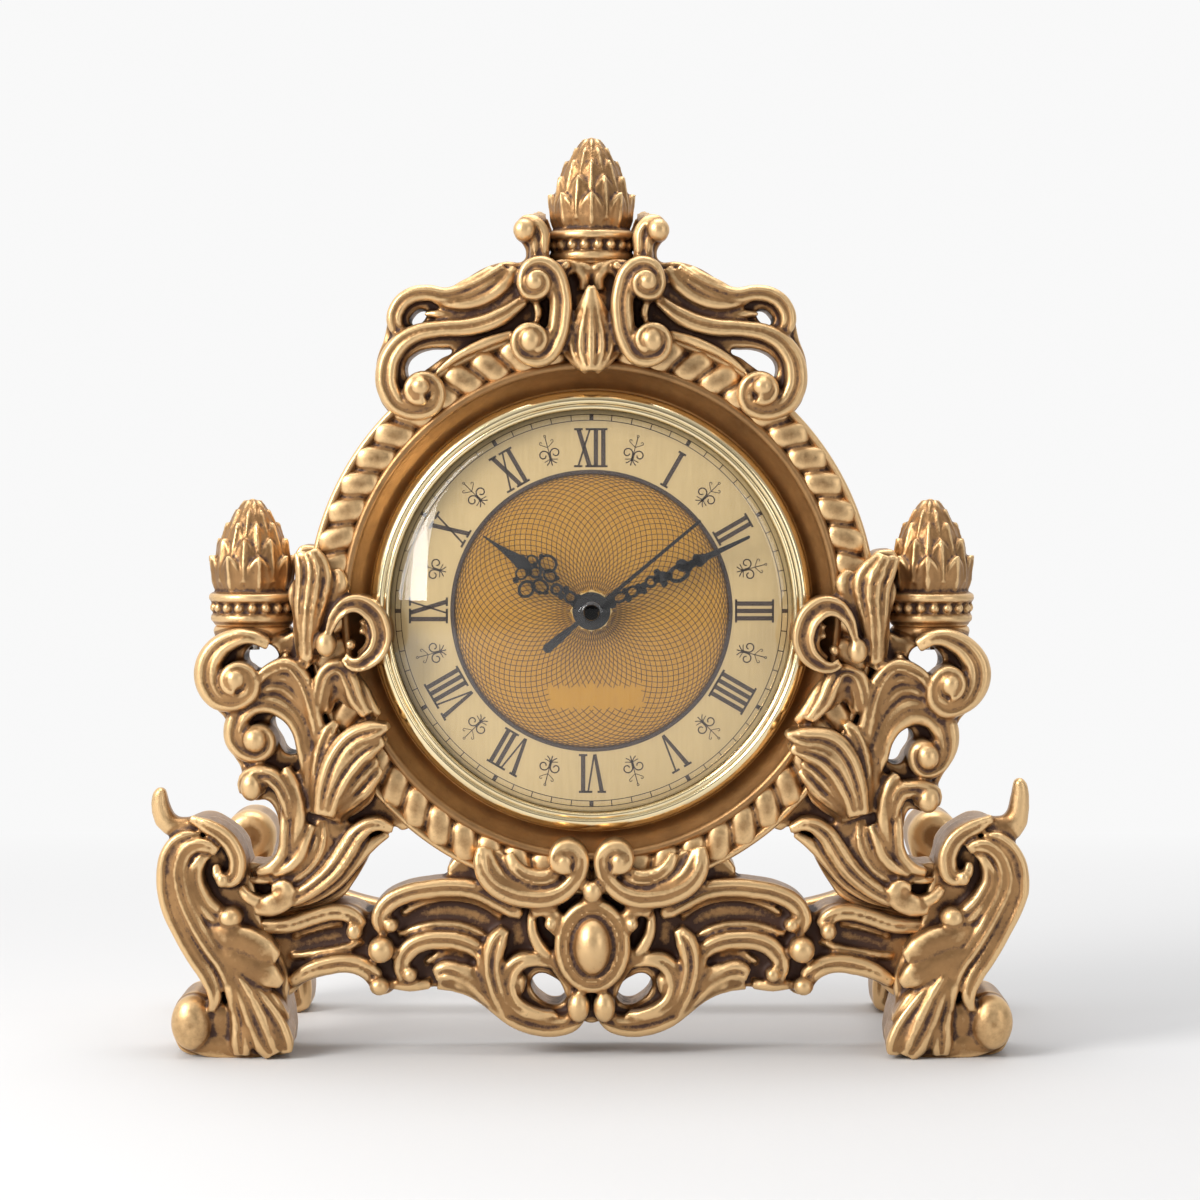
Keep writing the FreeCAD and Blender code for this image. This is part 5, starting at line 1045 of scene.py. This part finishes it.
def satin_metal(name, dark, light, rough, metallic):
    """Printed metal ground: a faint upright brushing and a soft cloud of tone."""
    material, tree, shader = new_material(name)
    place = add_node(tree, "ShaderNodeTexCoord").outputs["Object"]
    stretched = add_node(tree, "ShaderNodeMapping", {"Vector": place})
    stretched.inputs["Scale"].default_value = (1.0, 1.0, 0.05)
    grain = noise(tree, 2600.0, 3.0, 0.6, stretched.outputs["Vector"])
    cloud = noise(tree, 30.0, 2.0, 0.5)
    both = plus(tree, math_node(tree, "MULTIPLY", grain, 0.5), cloud, 0.5)
    tone = blend_colour(tree, remap(tree, both, 0.35, 0.65), dark, light)
    tree.links.new(tone, shader.inputs["Base Color"])
    tree.links.new(remap(tree, grain, 0.3, 0.7, rough - 0.05, rough + 0.05), shader.inputs["Roughness"])
    shader.inputs["Metallic"].default_value = metallic
    shader.inputs["Specular IOR Level"].default_value = 0.2
    return material


def speckled(name, dark, light, scale, rough, metallic=0.0, shine=0.5):
    """Sprayed or moulded surface with a fine uneven speckle of tone and gloss."""
    material, tree, shader = new_material(name)
    speck = noise(tree, scale, 3.0, 0.6)
    tone = blend_colour(tree, remap(tree, speck, 0.3, 0.7), dark, light)
    tree.links.new(tone, shader.inputs["Base Color"])
    tree.links.new(remap(tree, speck, 0.3, 0.7, rough - 0.06, rough + 0.06), shader.inputs["Roughness"])
    shader.inputs["Metallic"].default_value = metallic
    shader.inputs["Specular IOR Level"].default_value = shine
    return material


champagne = satin_metal("champagne", (0.385, 0.285, 0.135, 1), (0.45, 0.335, 0.165, 1), 0.45, 0.3)
turned_gold = satin_metal("turned_gold", (0.325, 0.16, 0.016, 1), (0.38, 0.20, 0.028, 1), 0.42, 0.3)
dark_print = speckled("dark_print", (0.030, 0.020, 0.016, 1), (0.055, 0.038, 0.030, 1), 3000.0, 0.5,
                      shine=0.15)
fine_print = speckled("fine_print", (0.060, 0.028, 0.010, 1), (0.095, 0.046, 0.017, 1), 900.0, 0.5,
                      shine=0.15)

print_shapes = circle_bars((0, 0), TRACK_INNER, TRACK_LINE, 180)
print_shapes += circle_bars((0, 0), TRACK_OUTER, TRACK_LINE, 180)
print_shapes += circle_bars((0, 0), CENTRE_RADIUS + CENTRE_RING / 2, CENTRE_RING, 240)
for minute in range(60):
    tick = bar((0, TRACK_INNER), (0, TRACK_OUTER), MINUTE_TICK if minute % 5 else HOUR_TICK)
    print_shapes += round_dial([tick], 0, minute * 6)
for hour, letters in enumerate(numerals):
    print_shapes += round_dial(numeral(letters), NUMERAL_RADIUS, hour * 30)
    print_shapes += round_dial(flourish(), FLOURISH_RADIUS, hour * 30 + 15)
circle_shapes = []
for i in range(CIRCLES):
    turn = 2 * math.pi * (i + 0.5) / CIRCLES
    middle = (CENTRE_RADIUS / 2 * math.sin(turn), CENTRE_RADIUS / 2 * math.cos(turn))
    for shape in circle_bars(middle, CENTRE_RADIUS / 2, CIRCLE_LINE, 72):
        x, z = (sum(corner[k] for corner in shape) / 4 for k in range(2))
        bare = BARE_LEFT < x < BARE_RIGHT and BARE_LOW < z < BARE_HIGH
        if not bare and math.hypot(x, z) > HUB_FIELD:
            circle_shapes.append(shape)
centre_disc = [(CENTRE_RADIUS * math.sin(turn), CENTRE_RADIUS * math.cos(turn))
               for turn in [2 * math.pi * i / 180 for i in range(180)]]
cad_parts["dial"].material_slots[0].material = champagne
print_on_dial("dial_centre", [centre_disc], 0.01, turned_gold)
print_on_dial("dial_pattern", circle_shapes, 0.03, fine_print)
print_on_dial("dial_print", print_shapes, 0.05, dark_print)

# Hands: etched from thin brass and sprayed matt black, pierced in a chain of small rings; each is
# pressed on its own arbor, and a turned cap covers the middle.
HAND_THICK, HAND_EDGE = 0.34, 0.05
# Where each hand stands in the photo, in degrees clockwise from twelve, the plane of its back and its hub.
HOUR_TURN, MINUTE_TURN, SECOND_TURN = 304.9, 64.6, 50.1
HOUR_BACK, MINUTE_BACK, SECOND_BACK = -31.76, -32.71, -33.66
HOUR_HUB, MINUTE_HUB, SECOND_HUB = 4.7, 4.4, 1.9
matt_black = speckled("matt_black", (0.006, 0.006, 0.007, 1), (0.014, 0.013, 0.013, 1), 1500.0, 0.5,
                      shine=0.12)
# Along a hand and across it: rings as (along, across, two radii, wall), blobs as (along, across, radius).
hour_rings = [
    (6.0, -0.1, 0.9, 0.9, 0.62), (9.6, -0.45, 0.8, 0.8, 0.7), (13.0, -2.0, 1.5, 1.1, 0.6),
    (15.4, -4.4, 1.25, 1.5, 0.7), (12.6, 1.3, 1.2, 0.9, 0.6), (14.7, 3.3, 1.7, 1.5, 0.65),
    (15.9, 0.0, 0.95, 0.9, 0.6), (18.1, 1.9, 1.0, 0.75, 0.5), (18.4, -2.1, 1.0, 1.1, 0.5)]
hour_blobs = [
    (18.6, -4.1, 0.75), (7.8, 0.8, 0.8), (7.8, -1.1, 0.8), (11.2, -2.4, 0.6), (11.0, 1.8, 0.6),
    (16.9, 3.9, 0.6), (4.4, 0.9, 0.9), (4.4, -0.9, 0.9), (14.2, -0.4, 0.6), (14.4, -3.0, 0.6),
    (17.2, -0.9, 0.8), (17.0, 1.4, 0.6), (12.3, -3.3, 0.5), (13.4, 2.2, 0.5)]
hour_blade = [
    (17.0, 0.4), (19.0, 1.2), (20.4, 1.9), (21.2, 1.35), (23.0, 1.0), (26.0, 0.55), (30.7, 0.15),
    (30.7, -0.15), (26.0, -0.5), (23.0, -0.95), (21.2, -1.3), (20.0, -1.7), (18.8, -1.0), (17.0, -0.6)]
minute_rings = [
    (7.4, -0.15, 1.25, 0.75, 0.6), (10.6, -0.1, 0.95, 0.8, 0.62), (15.4, -0.3, 0.8, 0.75, 0.7),
    (22.1, 0.7, 1.75, 1.15, 0.95)]
minute_blobs = [
    (9.1, 0.95, 0.85), (9.1, -0.95, 0.75), (12.3, -0.5, 0.85), (12.3, 0.5, 0.75), (13.6, -0.2, 0.85),
    (13.1, 1.0, 0.7), (16.9, -0.3, 0.95), (17.7, -1.75, 0.8), (18.1, 1.4, 0.8), (18.3, -0.1, 1.45),
    (19.7, 0.2, 1.05), (23.6, -0.7, 1.5), (24.6, 0.3, 1.2), (25.9, 0.0, 1.0), (27.4, -0.8, 0.95),
    (27.5, 0.7, 0.85), (5.2, 0.6, 0.9), (5.2, -0.6, 0.9), (3.9, 0.0, 1.2)]
minute_blade = [
    (25.0, 0.9), (26.5, 0.8), (28.2, 1.4), (29.6, 0.85), (33.0, 0.62), (40.4, 0.42), (40.8, 0.1),
    (40.7, -0.3), (33.0, -0.58), (29.6, -0.85), (28.2, -1.35), (26.5, -0.8), (25.0, -0.9)]
second_blade = [
    (33.1, 0.15), (33.1, -0.15), (32.6, -0.36), (2.0, -0.5), (0.0, -0.6), (-6.0, -0.6), (-9.0, -0.95),
    (-13.6, -1.1), (-14.3, -0.6), (-14.3, 0.6), (-13.6, 1.1), (-9.0, 0.95), (-6.0, 0.6), (0.0, 0.6),
    (2.0, 0.5), (32.6, 0.36)]


def oval(u, v, along, across, steps=28):
    """Points of an oval, along and across a hand."""
    return [(u + along * math.cos(2 * math.pi * i / steps), v + across * math.sin(2 * math.pi * i / steps))
            for i in range(steps)]


def flat_shape(bm, loops):
    """Sheet-metal shape from an outline and its holes, with softened edges."""
    curve = bpy.data.curves.new("flat", "CURVE")
    curve.dimensions = "2D"
    curve.fill_mode = "BOTH"
    curve.extrude = (HAND_THICK / 2 - HAND_EDGE) * MM
    curve.bevel_depth = HAND_EDGE * MM
    curve.bevel_resolution = 1
    curve.offset = -HAND_EDGE * MM
    for loop in loops:
        spline = curve.splines.new("POLY")
        spline.points.add(len(loop) - 1)
        for point, (u, v) in zip(spline.points, loop):
            point.co = (v * MM, u * MM, 0, 1)
        spline.use_cyclic_u = True
    obj = linked("flat", curve)
    add_evaluated(bm, obj)
    bpy.data.objects.remove(obj)


def hand(name, blade, ring_rows, blobs, hub, turn_deg, back, body, node):
    """One hand: its rings, blobs, blade and hub, turned to its hour and set at its depth."""
    bm = bmesh.new()
    flat_shape(bm, [blade])
    flat_shape(bm, [oval(0, 0, hub, hub, 48)])
    for u, v, along, across, wall in ring_rows:
        flat_shape(bm, [oval(u, v, along + wall, across + wall), oval(u, v, along, across)])
    for u, v, half in blobs:
        flat_shape(bm, [oval(u, v, half, half, 20)])
    bmesh.ops.rotate(bm, cent=(0, 0, 0), matrix=Matrix.Rotation(-math.radians(turn_deg), 3, "Z"),
                     verts=bm.verts)
    bmesh.ops.transform(bm, matrix=TO_FACE, verts=bm.verts)
    bmesh.ops.translate(bm, vec=(0, (back - HAND_THICK / 2) * MM, DIAL_HEIGHT * MM), verts=bm.verts)
    obj = mesh_object(name, bm)
    obj.data.materials.append(matt_black)
    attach(obj, body)
    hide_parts(node)


hand("hour_pointer", hour_blade, hour_rings, hour_blobs, HOUR_HUB, HOUR_TURN, HOUR_BACK,
     "hours", "hour_hand")
hand("minute_pointer", minute_blade, minute_rings, minute_blobs, MINUTE_HUB, MINUTE_TURN, MINUTE_BACK,
     "minutes", "minute_hand")
hand("second_pointer", second_blade, [], [], SECOND_HUB, SECOND_TURN, SECOND_BACK,
     "seconds", "second_hand")
cap_profile = [
    (0.02, -34.0), (2.7, -34.0), (2.78, -34.1), (2.78, -34.45), (2.6, -34.62), (2.3, -34.66),
    (2.2, -34.6), (2.05, -34.72), (1.2, -35.05), (0.02, -35.15)]
cap = turned("hub_dome", cap_profile, 64)
cap_black = speckled("cap_black", (0.022, 0.022, 0.024, 1), (0.040, 0.040, 0.042, 1), 1200.0, 0.32)
cap.data.materials.append(cap_black)
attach(cap, "seconds")
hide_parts("hub_cap")

# Bezel: ring pressed and rolled from thin brass, polished and lacquered; it is sprung over the cup's
# rim and holds the lens down on the dial.
bezel_profile = [
    (49.5, -28.0), (51.2, -28.0), (51.5, -28.3), (51.5, -30.6), (51.3, -31.8), (50.7, -33.1),
    (49.9, -33.9), (49.2, -34.15), (48.7, -34.0), (48.55, -33.6), (48.4, -33.7), (48.0, -34.2),
    (47.5, -34.2), (47.1, -33.8), (47.0, -33.0), (48.7, -33.0), (48.7, -29.05), (49.5, -29.05)]
polished_gold, tree, shader = new_material("polished_gold")
shader.inputs["Metallic"].default_value = 1.0
hairlines = noise(tree, 60.0, 3.0, 0.5)
tone = blend_colour(tree, remap(tree, hairlines, 0.3, 0.7), (0.95, 0.80, 0.50, 1), (0.90, 0.73, 0.43, 1))
tree.links.new(tone, shader.inputs["Base Color"])
tree.links.new(remap(tree, hairlines, 0.3, 0.7, 0.14, 0.22), shader.inputs["Roughness"])
bezel = turned("bezel_ring", bezel_profile, 256)
bezel.data.materials.append(polished_gold)
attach(bezel, "clock")
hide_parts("bezel")

# Lens: polished dome of clear glass with a short skirt at its rim, which stands on the dial's edge and
# is held there by the bezel's lip.
LENS_RADIUS, LENS_RISE, LENS_FACE, LENS_INSIDE, LENS_STEPS = 46.8, 6.5, -33.0, -32.0, 15
lens_profile = [(48.6, DIAL_FRONT), (48.6, -32.9), (46.9, -32.9)]
for i in range(1, LENS_STEPS + 1):
    share = 1 - i / LENS_STEPS
    lens_profile.append((LENS_RADIUS * share, LENS_FACE - LENS_RISE * (1 - share ** 2)))
for i in range(1, LENS_STEPS + 1):
    share = i / LENS_STEPS
    lens_profile.append((LENS_RADIUS * share, LENS_INSIDE - LENS_RISE * (1 - share ** 2)))
lens_profile += [(47.2, -31.6), (47.2, DIAL_FRONT)]
clear_glass, tree, shader = new_material("clear_glass")
shader.inputs["Base Color"].default_value = (1.0, 1.0, 1.0, 1)
shader.inputs["Roughness"].default_value = 0.0
shader.inputs["IOR"].default_value = 1.46
shader.inputs["Transmission Weight"].default_value = 1.0
lens = turned("lens_dome", lens_profile, 192)
lens.visible_shadow = False
lens.data.materials.append(clear_glass)
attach(lens, "clock")
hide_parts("lens")

# Insert and movement: a gold-washed cup with a rubber grip, and behind it the quartz movement in its
# case with a round cell, a setting knob, a coil and stator on a small board, and a train of moulded wheels.
cup_plastic = speckled("cup_plastic", (0.30, 0.18, 0.065, 1), (0.37, 0.23, 0.09, 1), 700.0, 0.42, 0.35)
case_black = speckled("case_black", (0.014, 0.014, 0.015, 1), (0.030, 0.030, 0.031, 1), 1100.0, 0.48)
bumped(case_black, noise(case_black.node_tree, 2200.0, 2.0, 0.5), 0.25, 0.00015)
rubber = speckled("rubber", (0.75, 0.73, 0.68, 1), (0.82, 0.80, 0.75, 1), 400.0, 0.62)
wheel_white = speckled("wheel_white", (0.78, 0.76, 0.70, 1), (0.86, 0.84, 0.78, 1), 500.0, 0.40)
knob_black = speckled("knob_black", (0.016, 0.016, 0.017, 1), (0.034, 0.034, 0.035, 1), 900.0, 0.38)
board_lacquer = speckled("board_lacquer", (0.012, 0.10, 0.045, 1), (0.02, 0.15, 0.07, 1), 260.0, 0.35)
steel = speckled("steel", (0.50, 0.50, 0.49, 1), (0.60, 0.60, 0.59, 1), 800.0, 0.30, 1.0)
brass = speckled("brass", (0.62, 0.44, 0.17, 1), (0.72, 0.52, 0.22, 1), 500.0, 0.30, 1.0)
cell_jacket = speckled("cell_jacket", (0.16, 0.17, 0.18, 1), (0.22, 0.23, 0.24, 1), 150.0, 0.28)
copper = speckled("copper", (0.45, 0.16, 0.06, 1), (0.58, 0.24, 0.10, 1), 900.0, 0.30, 0.9)
place = add_node(copper.node_tree, "ShaderNodeTexCoord").outputs["Object"]
windings = add_node(copper.node_tree, "ShaderNodeTexWave",
                    {"Vector": place, "Scale": 800.0, "Distortion": 0.4})
bumped(copper, windings.outputs["Fac"], 0.6, 0.0001)
finishes = {
    cup_plastic: ["insert_cup"], rubber: ["grip_ring"], knob_black: ["setting_knob"],
    case_black: ["movement_case", "movement_cover", "train_plate"], board_lacquer: ["circuit_board"],
    steel: ["stand_screws", "finial_pins", "positive_contact", "negative_contact", "quartz_crystal",
            "stator"],
    brass: ["hex_nut", "dial_washer"], cell_jacket: ["battery"], copper: ["coil"],
    wheel_white: ["rotor", "intermediate_wheel", "second_wheel", "third_wheel", "centre_wheel",
                  "cannon_pinion", "minute_wheel", "hour_wheel"]}
for finish, names in finishes.items():
    for node_name in names:
        for material_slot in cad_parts[node_name].material_slots:
            material_slot.material = finish

# Stage: a pale table that fades into a white wall behind the clock, an even studio whose light falls off
# towards the camera, three soft lamps, a narrow one that the lens mirrors as a window, and the camera.
PAPER = (0.945, 0.945, 0.945, 1)
FLOOR_HALF, FADE_FROM, FADE_TO = 3.0, 0.03, 0.42
floor_material, tree, shader = new_material("pale_floor")
shader.inputs["Roughness"].default_value = 0.8
grain = noise(tree, 8.0, 2.0, 0.5)
tone = blend_colour(tree, grain, (0.57, 0.57, 0.575, 1), (0.58, 0.58, 0.585, 1))
tree.links.new(tone, shader.inputs["Base Color"])
place = add_node(tree, "ShaderNodeTexCoord").outputs["Object"]
away = add_node(tree, "ShaderNodeSeparateXYZ", {0: place})
fade = remap(tree, away.outputs["Y"], FADE_FROM, FADE_TO)
seen = add_node(tree, "ShaderNodeLightPath").outputs["Is Camera Ray"]
wall = add_node(tree, "ShaderNodeEmission", {"Color": PAPER, "Strength": 1.0})
fading = add_node(tree, "ShaderNodeMixShader", {
    0: math_node(tree, "MULTIPLY", fade, seen), 1: shader.outputs[0], 2: wall.outputs[0]})
tree.links.new(fading.outputs[0], tree.nodes["Material Output"].inputs["Surface"])
floor_bm = bmesh.new()
bmesh.ops.create_grid(floor_bm, x_segments=1, y_segments=1, size=FLOOR_HALF)
floor = mesh_object("floor", floor_bm)
floor.data.materials.append(floor_material)

world = bpy.data.worlds.new("studio")
bpy.context.scene.world = world
world.use_nodes = True
tree = world.node_tree
sky = tree.nodes["Background"]
direction = add_node(tree, "ShaderNodeTexCoord").outputs["Generated"]
sides = add_node(tree, "ShaderNodeSeparateXYZ", {0: direction})
room = math_node(tree, "MULTIPLY", sides.outputs["Z"], 0.40)
room = plus(tree, room, sides.outputs["X"], -0.22)
room = plus(tree, room, sides.outputs["Y"], 0.40)
tone = blend_colour(tree, remap(tree, room, -0.4, 0.5), (0.13, 0.13, 0.13, 1), (0.95, 0.95, 0.95, 1))
tree.links.new(tone, sky.inputs["Color"])
sky.inputs["Strength"].default_value = 1.0
white = add_node(tree, "ShaderNodeBackground", {"Color": PAPER, "Strength": 1.0})
path = add_node(tree, "ShaderNodeLightPath")
behind = remap(tree, sides.outputs["Y"], 0.0, 0.5)
mirrored = math_node(tree, "MULTIPLY", behind, path.outputs["Is Glossy Ray"])
seen = math_node(tree, "MAXIMUM", path.outputs["Is Camera Ray"], path.outputs["Is Transmission Ray"])
seen = math_node(tree, "MAXIMUM", seen, mirrored)
mix = add_node(tree, "ShaderNodeMixShader", {0: seen, 1: sky.outputs[0], 2: white.outputs[0]})
tree.links.new(mix.outputs[0], tree.nodes["World Output"].inputs["Surface"])


def aimed(obj, place, aim):
    """Stand a lamp or the camera at a place and turn it to a point."""
    obj.location = place
    obj.rotation_euler = (Vector(aim) - obj.location).to_track_quat("-Z", "Y").to_euler()


def lamp(name, place, aim, size, power, colour=(1, 1, 1)):
    """Square soft lamp at a place, turned to what it lights."""
    light = bpy.data.lights.new(name, "AREA")
    light.shape = "RECTANGLE"
    light.size, light.size_y = size
    light.energy = power
    light.color = colour
    aimed(linked(name, light), place, aim)


lamp("key", (-0.75, -0.60, 0.60), (0, 0, 0.1), (0.40, 0.55), 10.5, (1.0, 0.985, 0.96))
lamp("window", (-0.486, -0.80, 0.27), (0, -0.03, 0.11), (0.060, 0.36), 0.6)
lamp("fill", (0.9, -0.9, 0.35), (0, 0, 0.1), (0.5, 0.7), 2.2)
lamp("top", (0.0, 0.05, 0.95), (0, 0, 0.1), (0.7, 0.5), 4.5)

CAMERA_SIDE, CAMERA_HEIGHT, CAMERA_DISTANCE = 0.002, 0.140, 0.765
AIM_HEIGHT, FACADE = 0.1067, -0.036
camera_data = bpy.data.cameras.new("camera")
camera_data.sensor_width = 36
camera_data.lens = 99.0
camera = linked("camera", camera_data)
aimed(camera, (CAMERA_SIDE, FACADE - CAMERA_DISTANCE, CAMERA_HEIGHT), (CAMERA_SIDE, FACADE, AIM_HEIGHT))
bpy.context.scene.camera = camera
bpy.context.scene.view_settings.view_transform = "Standard"
